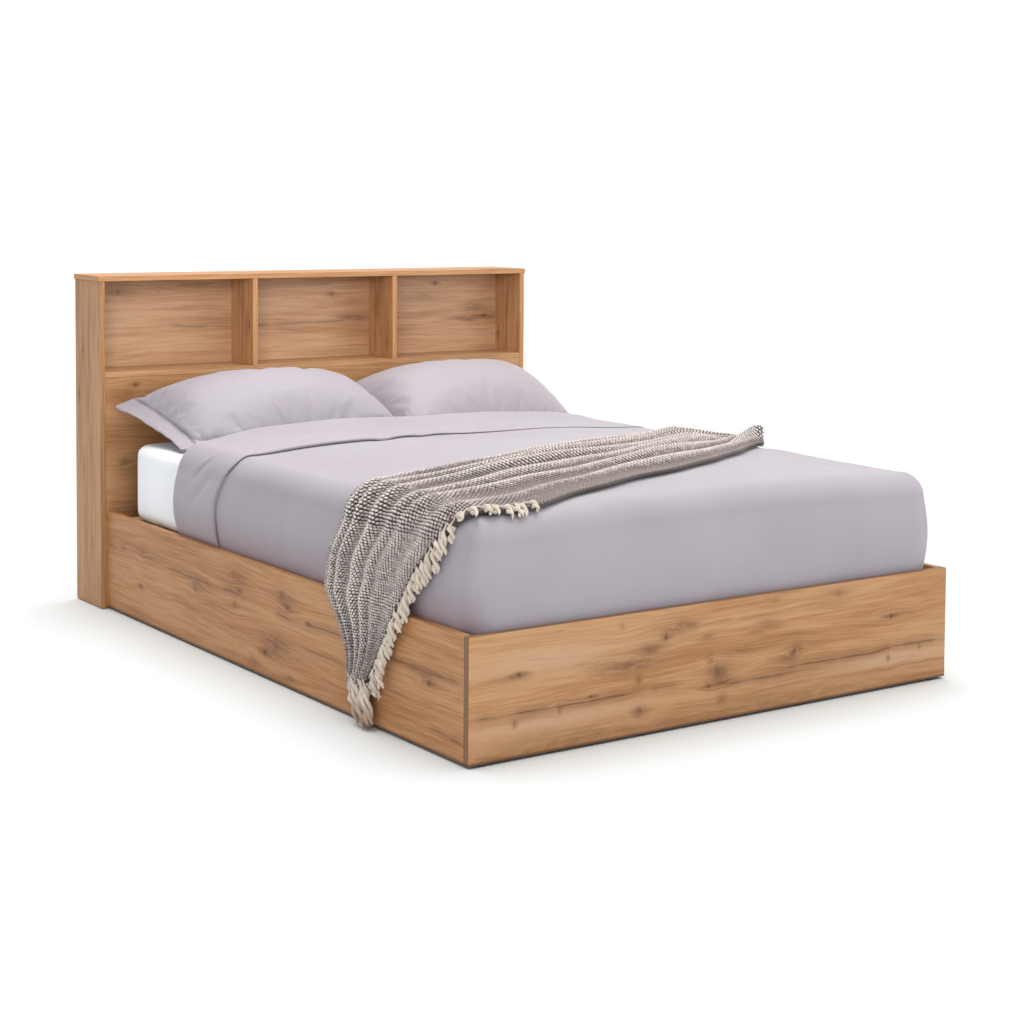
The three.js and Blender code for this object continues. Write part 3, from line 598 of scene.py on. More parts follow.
# The colours that multiply the top, the shelf and the sides of the case darken and cool them a little:
# painted shade for how each faces the lamps.
dress_board("headboard_top", "oak_top", LYING, knots=[(0.20, 0.97, 0.012, 0.010)],
            splits=[(0.96, -0.6, 0.0, 0.002)], seed=21.0, tint=(0.95, 0.94, 0.94))
dress_board("headboard_shelf", "oak_shelf", LYING, joints=side_joints, seed=26.0, tint=(0.93, 0.985, 1.08))
dress_board("headboard_rear_stretcher", "oak_stretcher", LEVEL, joints=side_joints, seed=28.0)
for side in ("left", "right"):
    dress_board(f"headboard_side_{side}", f"oak_case_{side}", UPRIGHT,
                knots=[(0.741, 1.020, 0.011, 0.007), (0.610, 1.048, 0.011, 0.006),
                       (0.391, 1.012, 0.012, 0.006, 0.7), (0.769, 0.900, 0.010, 0.004, 0.6),
                       (0.18, 0.95, 0.012, 0.008, 0.8)],
                splits=[(0.965, 0.55, 0.92, 0.0016), (1.02, 0.10, 0.45, 0.0018)],
                joints=[case_joint], seed=31.0, tint=(0.945, 0.945, 0.96))
dress_board("headboard_divider_1", "oak_divider_1", UPRIGHT,
            knots=[(0.803, 0.914, 0.010, 0.006), (0.820, 1.010, 0.012, 0.005, 0.6)],
            smears=[(0.80, 0.93, 0.05, 0.012, 0.7)], splits=[(0.960, 0.70, 0.92, 0.0016)],
            joints=divider_joints, seed=36.0)
dress_board("headboard_divider_2", "oak_divider_2", UPRIGHT, knots=[(0.733, 0.925, 0.014, 0.005)],
            smears=[(0.86, 0.985, 0.06, 0.012, 0.6)], splits=[(1.000, 0.70, 0.94, 0.0016)],
            joints=divider_joints, seed=40.0)
print("headboard boards dressed")

# %% [markdown]
# Inside the frame the base is plain planed pine, the fixings are zinc-plated steel and the glides
# are black plastic. They show only from below or from above with the bedding off, so their finishes
# are simpler, but each still has its grain, brushing or moulded skin.

# %% Pine, steel and plastic
PINE_PALE = srgb(206, 182, 142)
PINE_RING = srgb(184, 149, 102)
ZINC_PALE = srgb(205, 208, 212)
ZINC_DULL = srgb(168, 172, 178)
PLASTIC_BLACK = srgb(34, 33, 32)
PLASTIC_WORN = srgb(58, 56, 54)


def pine(name, axes, seed):
    """Planed softwood: wide growth rings drawn out along the grain, with fine fibres."""
    material, tree, shader = new_material(name, 0.62)
    along, across, through = board_place(tree, *axes)
    bend = (noise(tree, (along * 1.2, across * 6.0, seed), 2.0) - 0.5) * 0.5
    rings = noise(tree, (along * 0.8, (across + through) * 70.0 + bend, seed), 3.0, 0.55)
    fibre = noise(tree, (along * 18.0, (across + through) * 600.0, seed), 2.0)
    tone = (rings * 0.8 + fibre * 0.2).ramp(0.36, 0.64)
    plug(tree, shader, [("Base Color", blend_colours(tree, tone, PINE_RING, PINE_PALE)),
                        ("Roughness", rings.ramp(0.3, 0.7, 0.7, 0.55))])
    add_bump(tree, shader, fibre, 0.0004, 0.4)
    return material


def mottled(name, low, high, scale, rough, metal=0.0):
    """A moulded or plated skin: two near tones and an uneven gloss, by fine noise."""
    material, tree, shader = new_material(name, rough[0], Metallic=metal)
    place = board_place(tree, X, Y, Z)
    cloud = noise(tree, [axis * scale for axis in place], 4.0, 0.6)
    plug(tree, shader, [("Base Color", blend_colours(tree, cloud.ramp(0.35, 0.65), low, high)),
                        ("Roughness", cloud.ramp(0.3, 0.7, *rough))])
    add_bump(tree, shader, cloud, 0.0002, 0.3)
    return material


def names_with(*starts):
    """The CAD nodes whose names start with one of these."""
    return [name for name in sorted(nodes) if name.startswith(starts)]


dress(names_with("slat_0", "slat_1"), pine("pine_slat", (X, Y, Z), 2.0))
dress(names_with("slat_ledger", "centre_beam"), pine("pine_lengthwise", (Y, Z, X), 6.0))
dress(["centre_leg_1", "centre_leg_2"], pine("pine_upright", (Z, X, Y), 8.0))
dress(names_with("corner_bracket", "bracket_bolt", "beam_hanger"),
      mottled("zinc_steel", ZINC_DULL, ZINC_PALE, 420.0, (0.42, 0.28), 1.0))
dress(names_with("headboard_glide", "side_rail_glide", "foot_panel_glide", "centre_leg_foot"),
      mottled("black_plastic", PLASTIC_BLACK, PLASTIC_WORN, 900.0, (0.5, 0.62)))
print("inner parts dressed")

# %% [markdown]
# From here on the bed is made up. Each soft piece is a surface: a grid of points, each found from
# two numbers, one along the cloth and one across it. A whole grid is worked out at once as numpy
# arrays and handed to the mesh in one go, with the cloth's own flat coordinates kept as its UV map,
# in metres, so that a weave follows the cloth round every fold.


# %% Grids that become meshes
def smooth(share):
    """0 below 0, 1 above 1, and 3s squared minus 2s cubed between."""
    held = np.clip(share, 0.0, 1.0)
    return held * held * (3 - 2 * held)


def grid_faces(rows, columns, start=0, flip=False):
    """The corner numbers of every cell of a grid whose points are numbered row by row."""
    corner = start + np.arange(rows * columns).reshape(rows, columns)
    cells = np.stack([corner[:-1, :-1], corner[1:, :-1], corner[1:, 1:], corner[:-1, 1:]], axis=-1)
    cells = cells.reshape(-1, 4)
    return cells[:, ::-1] if flip else cells


def rim_faces(rows, columns):
    """The cells that join the rims of two grids of equal size, the second numbered after the first."""
    corner = np.arange(rows * columns).reshape(rows, columns)
    loop = np.concatenate([corner[0, :-1], corner[:-1, -1], corner[-1, :0:-1], corner[:0:-1, 0]])
    after = np.roll(loop, -1)
    below = rows * columns
    return np.stack([loop, after, after + below, loop + below], axis=-1)


def make_mesh(name, points, faces, material, flat=None):
    """A smooth-shaded piece at the origin from points, faces and flat coordinates. All faces have
    the same number of corners."""
    points = np.ascontiguousarray(points.reshape(-1, 3), dtype=np.float32)
    faces = np.ascontiguousarray(faces, dtype=np.int32)
    mesh = bpy.data.meshes.new(name)
    mesh.vertices.add(len(points))
    mesh.vertices.foreach_set("co", points.ravel())
    mesh.loops.add(faces.size)
    mesh.loops.foreach_set("vertex_index", faces.ravel())
    mesh.polygons.add(len(faces))
    mesh.polygons.foreach_set("loop_start", np.arange(0, faces.size, faces.shape[1], dtype=np.int32))
    mesh.polygons.foreach_set("use_smooth", np.ones(len(faces), dtype=bool))
    if flat is not None:
        layer = mesh.uv_layers.new(name="cloth")
        layer.data.foreach_set("uv", flat.reshape(-1, 2)[faces.ravel()].astype(np.float32).ravel())
    mesh.update(calc_edges=True)
    mesh.validate()
    mesh.materials.append(material)
    piece = bpy.data.objects.new(name, mesh)
    bpy.context.scene.collection.objects.link(piece)
    return piece


def make_shell(name, outer, inner, material, flat):
    """A closed piece from an outer and an inner grid joined round their rims, faces pointing out."""
    rows, columns = outer.shape[:2]
    points = np.concatenate([outer.reshape(-1, 3), inner.reshape(-1, 3)])
    faces = np.concatenate([grid_faces(rows, columns), grid_faces(rows, columns, rows * columns, True),
                            rim_faces(rows, columns)])
    corners = points[faces]
    normals = np.cross(corners[:, 2] - corners[:, 0], corners[:, 3] - corners[:, 1])
    if (normals * corners.mean(axis=1)).sum() < 0:
        faces = faces[:, ::-1]
    return make_mesh(name, points, faces, material, np.concatenate([flat.reshape(-1, 2)] * 2))


def add_tone(piece, tones):
    """Keeps one number for each point of a mesh, which its material reads as its tone."""
    layer = piece.data.attributes.new("tone", "FLOAT", "POINT")
    layer.data.foreach_set("value", np.ascontiguousarray(tones, dtype=np.float32).ravel())


def grid_normals(points):
    """The unit normal at each point of a grid: the cross product of its two slopes."""
    down, on = np.gradient(points, axis=0), np.gradient(points, axis=1)
    normals = np.cross(down, on)
    return normals / np.maximum(np.linalg.norm(normals, axis=-1, keepdims=True), 1e-12)


def travel(points, axis):
    """The distance covered along a grid's lines in one direction, starting from 0."""
    steps = np.linalg.norm(np.diff(points, axis=axis), axis=-1)
    start = np.zeros_like(np.take(steps, [0], axis=axis))
    return np.cumsum(np.concatenate([start, steps], axis=axis), axis=axis)


def waves(x, y, seed, length, count=7):
    """Gentle unevenness, -1 to 1: a sum of a few sine waves of that length in random directions."""
    draw = np.random.default_rng(seed)
    heading, phase = draw.uniform(0, np.pi, count), draw.uniform(0, 2 * np.pi, count)
    pitch = 2 * np.pi / (length * draw.uniform(0.7, 1.5, count))
    field = 0
    for turn, start, rate in zip(heading, phase, pitch):
        field = field + np.sin(rate * (x * np.cos(turn) + y * np.sin(turn)) + start)
    return field / count


def creases(x, y, strokes):
    """Folds given as strokes. A stroke is its middle, heading in degrees, half-length, half-width and
    height, and adds height times a bell across it times a longer bell along it."""
    field = np.zeros_like(x)
    for middle_x, middle_y, heading, half_length, half_width, height in strokes:
        turn = math.radians(heading)
        along = (x - middle_x) * math.cos(turn) + (y - middle_y) * math.sin(turn)
        across = (y - middle_y) * math.cos(turn) - (x - middle_x) * math.sin(turn)
        field += height * np.exp(-((along / half_length) ** 2) - (across / half_width) ** 2)
    return field


# %% [markdown]
# The bedding is sateen cotton: a close weave with a soft sheen that turns pale where it faces the light. The
# weave is two fine ripples at right angles on the cloth's flat coordinates. The far pillow's case is a
# slightly darker and pinker copy of the same cloth, painted shade and pink light for its place, and the
# duvet has a warm painted shade where it hangs behind the near rail, the rail's shadow warmed by the light
# it reflects. The mattress wears a white fitted sheet of the same weave without the sheen.

# %% Cotton
MAUVE_GREY = srgb(153, 146, 154)
MAUVE_LIGHT = srgb(160, 153, 161)
# Darker, pinker tones for the far pillow: painted shade and pink light on the same cloth.
MAUVE_PAINTED_SHADE = srgb(149, 142, 149)
MAUVE_PINK_PAINTED_SHADE = srgb(154, 145, 151)
SHEET_WHITE = srgb(247, 248, 252)
SHEET_SHADE = srgb(234, 236, 243)
# The painted shade in the groove of a line of stitching.
SEAM_PAINTED_SHADE = srgb(112, 105, 113)
# The painted shade of the near rail on the duvet, warmed by the light it reflects.
PAINTED_RAIL_SHADE = srgb(138, 119, 126)
weave_pitch = 0.0011
cloud_size = 0.35
flange_share = 0.074
# The parts of the weave, the slubs and the drape in the relief of the cloth.
relief_shares = (0.06, 0.10, 0.55)
# How far in tone the painted shade of a line of stitching is full, and how far off it has faded.
seam_shade_reach = (0.0010, 0.0048)
# The painted shade behind the near rail, warmed by the light the rail reflects: how deep it is, how strong,
# and where it fades in.
painted_shade_depth = 0.13
painted_shade_strength = 0.85
painted_shade_side = (-0.69, -0.64)


def cotton(name, low, high, sheen=0.25, gloss=(0.50, 0.62), stitched_at=None, painted_shade_height=None):
    """Woven cotton: two tones that drift over the cloth, a fine weave, and a sheen at the edges. stitched_at
    is the tone of the points where a line of stitching runs; the stitching is sunk there and darkened with
    painted shade. Below painted_shade_height the cloth takes painted shade from the board it hangs behind,
    warmed by the light the board reflects."""
    material, tree, shader = new_material(name, gloss[1], Sheen_Weight=sheen, Sheen_Roughness=0.4,
                                          Specular_IOR_Level=0.35)
    flat = add_node(tree, "ShaderNodeUVMap", uv_map="cloth").outputs[0]
    split = add_node(tree, "ShaderNodeSeparateXYZ", {0: flat})
    across, along = Field(split.outputs[0]), Field(split.outputs[1])
    rate = 2 * math.pi / weave_pitch
    weave = (across * rate).math("SINE") * (along * rate).math("SINE")
    slub = noise(tree, (across * 900.0, along * 60.0, 0.0), 2.0)
    slub = slub + noise(tree, (across * 60.0, along * 900.0, 4.0), 2.0)
    cloud = noise(tree, (across / cloud_size, along / cloud_size, 0.0), 3.0)
    colour = blend_colours(tree, cloud.ramp(0.3, 0.7) * 0.75 + slub * 0.12, low, high)
    # Painted shade behind the near rail, warmed by the light the rail reflects.
    if painted_shade_height is not None:
        place = board_place(tree, X, Y, Z)
        near_rail = place[Z].ramp(painted_shade_height - painted_shade_depth, painted_shade_height, painted_shade_strength, 0.0)
        on_the_left = place[X].ramp(*painted_shade_side, 1.0, 0.0)
        colour = blend_colours(tree, near_rail * on_the_left, colour, PAINTED_RAIL_SHADE)
    drape = noise(tree, (across * 28.0, along * 28.0, 2.0), 3.0)
    height = weave * relief_shares[0] + slub * relief_shares[1] + drape * relief_shares[2]
    if stitched_at is not None:
        tone = Field(add_node(tree, "ShaderNodeAttribute", attribute_name="tone").outputs["Fac"])
        # The stitching is sunk and darkened: the darkening is painted shade in its groove.
        seam = (tone - stitched_at).math("ABSOLUTE").ramp(*seam_shade_reach, 1.0, 0.0)
        colour = blend_colours(tree, seam * 0.55, colour, SEAM_PAINTED_SHADE)
        height = height - seam * 1.5
    plug(tree, shader, [("Base Color", colour), ("Roughness", cloud.ramp(0.3, 0.7, *gloss))])
    add_bump(tree, shader, height, 0.0012, 0.5)
    return material


duvet_cotton = cotton("satin_cotton_duvet", MAUVE_GREY, MAUVE_LIGHT, painted_shade_height=rail_top + 0.12)
pillow_cotton = cotton("satin_cotton_pillow", MAUVE_GREY, MAUVE_LIGHT, stitched_at=1 - flange_share)
# The far pillow's case is the same cloth made a little darker and pinker: painted shade and pink light.
far_pillow_cotton_painted_shade = cotton("satin_cotton_far_pillow_painted_shade", MAUVE_PAINTED_SHADE, MAUVE_PINK_PAINTED_SHADE)
sheet_cotton = cotton("fitted_sheet_cotton", SHEET_SHADE, SHEET_WHITE, 0.1, (0.75, 0.85))
print("cotton: four cloths, weave", weave_pitch * 1000, "mm")

# %% [markdown]
# Mattress and duvet are both covers over a block with rounded corners. A cover is flat on top, turns
# over a round edge and hangs down as a wall. One signed number, the stage, says how far a line of
# the grid has got: 0 to 1 over the flat margin, 1 to 2 round the edge, 2 to 3 down the wall. Where
# both directions have a stage the wall turns round the corner on a round plan.


# %% Covers over a block
def cover_turn(stage, crest, cover):
    """How far a cover reaches out and how high it lies at a stage. The edge is a quarter circle,
    and the wall bulges by half a sine."""
    margin = cover["corner"] - cover["edge"]
    turn = (np.clip(stage, 1, 2) - 1) * np.pi / 2
    wall = np.clip(stage - 2, 0, 1)
    reach = margin * np.minimum(stage, 1) + cover["edge"] * np.sin(turn)
    reach = reach + cover["bulge"] * np.sin(np.pi * wall)
    shoulder = crest - cover["edge"] * (1 - np.cos(turn))
    return reach, shoulder - (crest - cover["edge"] - cover["hem"]) * wall


def dome(share):
    """How far a cover sinks from its middle, t⁴(5 - 4t), which starts level and ends level."""
    share = np.minimum(np.abs(share), 1)
    return share ** 4 * (5 - 4 * share)


def cover_points(cover, across, along):
    """Points of a cover for two arrays of lines, each a column of shares and a column of stages.
    A share of the core plus the reach of the stage, turned on a round plan in the corners."""
    share_a, stage_a = across[:, None, 0], across[:, None, 1]
    share_b, stage_b = along[None, :, 0], along[None, :, 1]
    stage = np.maximum(np.abs(stage_a), np.abs(stage_b))
    plan = np.maximum(np.hypot(stage_a, stage_b), 1e-9)
    crest = cover["top"] - cover["crown"] * dome(share_a)
    reach, height = cover_turn(stage, crest, cover)
    x = share_a * cover["core_x"] + reach * stage_a / plan
    y = cover["core_foot"] + (cover["core_head"] - cover["core_foot"]) * share_b + reach * stage_b / plan
    side = 1 if cover["up"] else -1
    return np.stack(np.broadcast_arrays(x, y, cover["level"] + side * height), axis=-1)


def edge_stages(margin_steps, edge_steps, wall_steps):
    """Stages from just outside the core to the hem, evenly spaced in each of their three parts."""
    parts = [np.linspace(0, 1, margin_steps + 1)[1:], np.linspace(1, 2, edge_steps + 1)[1:],
             np.linspace(2, 3, wall_steps + 1)[1:]]
    return np.concatenate(parts)


def cover_lines(shares, stages, at_low=True, at_high=True):
    """The lines of a cover in one direction: stages outside the core at its ends, shares inside."""
    low = [(shares[0], -stage) for stage in stages[::-1]] if at_low else []
    high = [(shares[-1], stage) for stage in stages] if at_high else []
    return np.array(low + [(share, 0.0) for share in shares] + high)


def finish_piece(piece, slot, *replaced):
    """Hides the CAD nodes that a piece stands for, and rides it on the bed. slot is not used."""
    if replaced:
        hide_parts(*replaced)
    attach(piece, "root")
    print("made", piece.name, "with", len(piece.data.polygons), "faces")


# %% [markdown]
# The mattress shows only at the head end, where its near corner stands bare in its white fitted
# sheet. It is two covers back to back, one for the top half and one for the bottom half, with small
# puckers where the sheet is drawn round the corners.

# %% Mattress
mattress_low, mattress_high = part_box("mattress")
mattress_corner = 0.085
mattress_head_ease = 0.045
mattress_edge = 0.030
mattress_crown = 0.004
mattress_pucker = 0.0016
mattress_ripple = 0.0018
mattress_half = (mattress_high[Z] - mattress_low[Z]) / 2


def build_mattress():
    """Both halves of the mattress as covers round its middle height."""
    top = {
        "level": mattress_low[Z] + mattress_half, "core_x": mattress_high[X] - mattress_corner,
        "core_foot": mattress_low[Y] + mattress_corner,
        "core_head": mattress_high[Y] - mattress_head_ease - mattress_corner,
        "corner": mattress_corner, "edge": mattress_edge, "top": mattress_half,
        "hem": mattress_half / 2, "bulge": 0.0, "crown": mattress_crown, "up": True,
    }
    under = {**top, "crown": 0.0, "up": False}
    stages = edge_stages(2, 8, 9)
    across = cover_lines(np.linspace(-1, 1, 70), stages)
    along = cover_lines(np.linspace(0, 1, 90), stages)
    upper, lower = cover_points(top, across, along), cover_points(under, across, along)
    flat = np.stack([travel(upper, 0), travel(upper, 1)], axis=-1)
    corner = smooth((np.abs(upper[..., 0]) - top["core_x"]) / 0.04) * smooth(
        (upper[..., 1] - top["core_head"] + 0.05) / 0.06)
    pucker = waves(flat[..., 0] * 0.3, flat[..., 1], 5, 0.022) * mattress_pucker * corner
    ripple = waves(flat[..., 0], flat[..., 1], 6, 0.16) * mattress_ripple
    upper = upper - grid_normals(upper) * (np.abs(pucker) + np.abs(ripple))[..., None]
    mattress = make_shell("mattress_in_sheet", upper, lower, sheet_cotton, flat)
    finish_piece(mattress, "white_sheet", "mattress")


build_mattress()

# %% [markdown]
# The throw lies across the bed and over its near side. Its outline is set first, because the duvet
# is pressed flat under it. One share says how far a point is along the throw, from the far end at 0
# to the hanging tip at 1, and a table gives the head-side and foot-side edges there, as shares of
# the mattress length.

# %% Outline of the throw
throw_run = 1.839
throw_far_reach = 0.665
throw_border = 0.05
throw_rounding = 0.03
throw_edges = np.array([
    (0.0, 0.398, 0.325), (0.057, 0.428, 0.302), (0.114, 0.436, 0.250), (0.302, 0.386, 0.144),
    (0.452, 0.338, 0.090), (0.579, 0.318, 0.038), (0.626, 0.306, 0.012), (0.646, 0.304, 0.010),
    (0.701, 0.278, 0.014), (0.753, 0.275, 0.040), (0.807, 0.313, 0.076), (0.845, 0.316, 0.102),
    (0.862, 0.301, 0.114), (0.897, 0.255, 0.137), (0.935, 0.245, 0.163), (0.967, 0.242, 0.186),
    (1.0, 0.239, 0.207),
])


def throw_sides(share):
    """The y of the head-side and of the foot-side edge at each share of the run. Averaging over a
    small window rounds the corners of the table."""
    steps = np.linspace(-throw_rounding, throw_rounding, 7)
    sides = []
    for column in (1, 2):
        near = [np.interp(share + step, throw_edges[:, 0], throw_edges[:, column]) for step in steps]
        sides.append(mattress_low[Y] + (mattress_high[Y] - mattress_low[Y]) * sum(near) / len(near))
    return sides


def throw_cover(flat_x, flat_y):
    """1 where the throw lies on the duvet and 0 away from it, with a soft border."""
    share = (throw_far_reach - flat_x) / throw_run
    head_side, foot_side = throw_sides(share)
    below_head = smooth((head_side - flat_y) / throw_border + 0.8)
    above_foot = smooth((flat_y - foot_side) / throw_border + 0.8)
    return below_head * above_foot * smooth(share * throw_run / throw_border + 1)


# %% [markdown]
# The duvet hangs over both sides and the foot of the mattress and is tucked inside the boards. Its head end
# is folded back towards the foot, so the cloth runs up to the fold's crisp front edge, slips under it, comes
# back over a rounded nose and goes on to the head edge, where it rolls down to the mattress. That path is
# one line with a height over the cover below it, and every line of the grid that runs along the bed follows
# it. Soft unevenness and a few listed creases are added along the surface's own normals.

# %% Path of the duvet
duvet_low, duvet_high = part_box("duvet")
duvet_skin = 0.0075
duvet_gap = 0.0015
duvet_corner = 0.070
duvet_loft = 0.045
duvet_fold_edge = duvet_high[Y] - 0.335
duvet_fold_height = 0.011
duvet_slot_depth = 0.024
duvet_slot_gap = 0.0024
duvet_side_roll = 0.009
# The sides are swept towards the foot, more and more over this width from this start.
duvet_sweep = 0.062
duvet_sweep_start = 0.42
duvet_sweep_width = 0.33
# The shares of the fold's height that are lost towards the far side and at the near shoulder.
duvet_fold_flattening = 0.74
duvet_shoulder_flattening = 0.30
# How far the pillows lift the head end, how far the hanging fold goes back towards the head, and
# over what reach to either side of it.
duvet_head_lift = 0.016
duvet_fold_back = 0.072
duvet_fold_reach = 0.15
# The length and the height of two waves each: on the top, and upright on the walls.
duvet_puffs = ((0.42, 0.0050), (0.15, 0.0011))
duvet_uprights = ((0.24, 0.0045), (0.09, 0.0012))

duvet_cover = {
    "level": 0.0, "core_x": mattress_high[X] + duvet_gap + duvet_skin - duvet_corner,
    "core_foot": mattress_low[Y] - duvet_gap - duvet_skin + duvet_corner, "core_head": duvet_high[Y],
    "corner": duvet_corner, "edge": 0.060, "top": mattress_high[Z] + duvet_loft,
    "hem": duvet_low[Z], "bulge": 0.012, "crown": 0.014, "up": True,
}
duvet_lining = {
    **duvet_cover, "core_x": mattress_high[X] - mattress_corner,
    "core_foot": mattress_low[Y] + mattress_corner, "corner": mattress_corner + duvet_gap,
    "edge": mattress_edge + duvet_gap, "top": mattress_high[Z] + duvet_gap, "bulge": 0.0,
    "crown": mattress_crown,
}
duvet_top_roll = (duvet_cover["top"] + duvet_fold_height - duvet_lining["top"]) / 2

# Folds in the foot corners: an angle round the corner, a width and a height.
corner_tucks = [(0.35, 0.20, -0.004), (0.85, 0.25, 0.003), (1.30, 0.20, -0.004)]
# Strokes as creases() takes them, on the cloth's flat coordinates.
duvet_creases = [
    (-0.205, 0.166, 10, 0.032, 0.012, -0.0065), (-0.085, 0.164, 8, 0.030, 0.010, -0.0030),
    (-0.28, 0.060, 6, 0.160, 0.020, 0.0030), (0.16, 0.090, -4, 0.200, 0.024, 0.0028),
    (-0.40, 0.300, 4, 0.220, 0.016, 0.0030), (0.10, 0.345, 3, 0.260, 0.014, -0.0030),
    (0.36, 0.260, -3, 0.180, 0.020, 0.0030), (-0.688, 0.318, 126, 0.050, 0.011, 0.0040),
    (-0.703, 0.328, 126, 0.056, 0.008, -0.0080), (-0.765, 0.300, 122, 0.070, 0.016, -0.0070),
    (0.45, -0.70, -24, 0.200, 0.040, 0.0035), (0.20, -0.86, 10, 0.240, 0.035, -0.0030),
    (-0.10, -0.95, 4, 0.200, 0.030, 0.0030),
]


def flat_distance(lines, core_size, cover):
    """The cloth's flat coordinate of each line: its place on the core, then the margin, the quarter
    circle of the edge and the wall, with the sign of its stage."""
    stage = np.abs(lines[:, 1])
    margin = (cover["corner"] - cover["edge"]) * np.minimum(stage, 1)
    arc = cover["edge"] * (np.clip(stage, 1, 2) - 1) * np.pi / 2
    wall = (cover["top"] - cover["edge"] - cover["hem"]) * np.clip(stage - 2, 0, 1)
    return lines[:, 0] * core_size + np.sign(lines[:, 1]) * (margin + arc + wall)


def fold_path(last_y):
    """The places and heights of the lines over the core: under the fold, round its nose and back."""
    nose_radius = (duvet_fold_height - duvet_slot_gap) / 2
    nose_y = duvet_fold_edge + nose_radius
    turn = np.linspace(-np.pi / 2, np.pi / 2, 11)[1:-1]
    slot_end = duvet_fold_edge + duvet_slot_depth
    near = 0.02
    parts = [
        (np.linspace(duvet_cover["core_foot"], duvet_fold_edge - near, 96), 0.0),
        (np.linspace(duvet_fold_edge - near, slot_end, 10)[1:], 0.0),
        (np.linspace(slot_end, nose_y, 6)[1:], duvet_slot_gap),
        (nose_y - nose_radius * np.cos(turn), duvet_slot_gap + nose_radius * (1 + np.sin(turn))),
        (np.linspace(nose_y, nose_y + near, 4), duvet_fold_height),
        (np.linspace(nose_y + near, last_y, 42)[1:], duvet_fold_height),
    ]
    places = np.concatenate([place for place, _ in parts])
    heights = np.concatenate([np.full(len(place), 0.0) + height for place, height in parts])
    return places, heights


print("duvet fold: edge at", round(duvet_fold_edge, 3), "m,", duvet_slot_depth * 1000, "mm deep")

# %% [markdown]
# The grid of the duvet is the cover, swept a little towards the foot at the sides as a pulled-up
# duvet is, with the height of the fold added along the cover's normals. A smaller cover inside it is
# the lining, and a half circle of lines joins the two at the head edge.


# %% Duvet
def duvet_lining_grid(outer, across, along):
    """The inner grid: a smaller cover whose lines over the core are spread evenly up to the last
    line of the outer one."""
    foot_lines = int((along[:, 1] < 0).sum())
    inner_shares = np.linspace(0, 1, len(along) - foot_lines)
    inner_along = along.copy()
    inner_along[foot_lines:, 0] = inner_shares
    inner = cover_points(duvet_lining, across, inner_along)
    first, last = inner[:, foot_lines, 1], outer[:, -1, 1]
    inner[:, foot_lines:, 1] = first[:, None] + (last - first)[:, None] * inner_shares[None, :]
    return inner


def swept_cover(across, along, flat_x, flat_y):
    """The duvet's cover with its lines swept towards the foot at the sides, the more the nearer they
    are to the head, and pushed back towards the head where the fold hangs down the near side. The
    head edge is rolled more tightly at the sides, so its last lines reach a little further there."""
    outer = cover_points(duvet_cover, across, along)
    core_length = duvet_cover["core_head"] - duvet_cover["core_foot"]
    stage = np.abs(across[:, 1])
    turn = np.clip(stage - 1, 0, 1) * np.pi / 2
    swept = duvet_sweep * smooth((np.abs(flat_x[:, :1]) - duvet_sweep_start) / duvet_sweep_width)
    side_roll = (duvet_top_roll * np.cos(turn) + duvet_side_roll * np.sin(turn))[:, None]
    core_y = along[None, :, 0] * core_length + duvet_cover["core_foot"]
    late = smooth((core_y - duvet_fold_edge - 0.05) / 0.25)
    outer[..., 1] -= swept * smooth(along[None, :, 0]) - (duvet_top_roll - side_roll) * late
    back = (duvet_fold_back * smooth((stage - 1.4) / 1.0) * (across[:, 1] < 0))[:, None]
    outer[..., 1] += back * np.exp(-(((flat_y - duvet_fold_edge) / duvet_fold_reach) ** 2))
    return outer


def fold_rise(outer, heights, line_x, stage):
    """How far each point rises over the cover: the height of the fold, pressed thinner towards the far
    side and at the near shoulder, and lifted at the head end where the pillows push it."""
    pressed = 1 - duvet_fold_flattening * smooth((line_x + 0.35) / 0.65)
    shoulder = smooth((-0.50 - line_x) / 0.12) * smooth((line_x + 0.76) / 0.06)
    pressed = pressed * (1 - duvet_shoulder_flattening * shoulder)
    pushed = duvet_head_lift * smooth((line_x + 0.66) / 0.30) * smooth((0.70 - line_x) / 0.15)
    pushed = pushed * smooth((outer[..., 1] - duvet_high[Y] + 0.17) / 0.14)
    wall = np.clip(stage - 2, 0, 1)
    return (heights[None, :] * pressed + pushed) * (1 - wall ** 6)


def duvet_grid():
    """The outer and inner grids of the duvet and the flat coordinates of the outer one, which rises
    over its cover along the normals across the bed."""
    stages = edge_stages(2, 14, 18)
    across = cover_lines(np.linspace(-1, 1, 101), stages)
    core_length = duvet_cover["core_head"] - duvet_cover["core_foot"]
    places, heights = fold_path(duvet_cover["core_head"] - duvet_top_roll)
    shares = (places - duvet_cover["core_foot"]) / core_length
    along = np.concatenate([[(0.0, -stage) for stage in stages[::-1]], np.stack([shares, 0 * shares], 1)])
    heights = np.concatenate([np.zeros(len(stages)), heights])
    flat_x, flat_y = np.meshgrid(
        flat_distance(across, duvet_cover["core_x"], duvet_cover),
        flat_distance(along, core_length, duvet_cover) + duvet_cover["core_foot"], indexing="ij")
    outer = swept_cover(across, along, flat_x, flat_y)
    turn = np.clip(np.abs(across[:, 1]) - 1, 0, 1) * np.pi / 2
    normals = np.stack([np.sign(across[:, 1]) * np.sin(turn), 0 * turn, np.cos(turn)], axis=-1)
    rise = fold_rise(outer, heights, flat_x[:, :1], np.abs(across[:, 1:]))
    outer = outer + normals[:, None, :] * rise[..., None]
    outer = add_duvet_folds(outer, flat_x, flat_y, across, along)
    return outer, duvet_lining_grid(outer, across, along), flat_x, flat_y


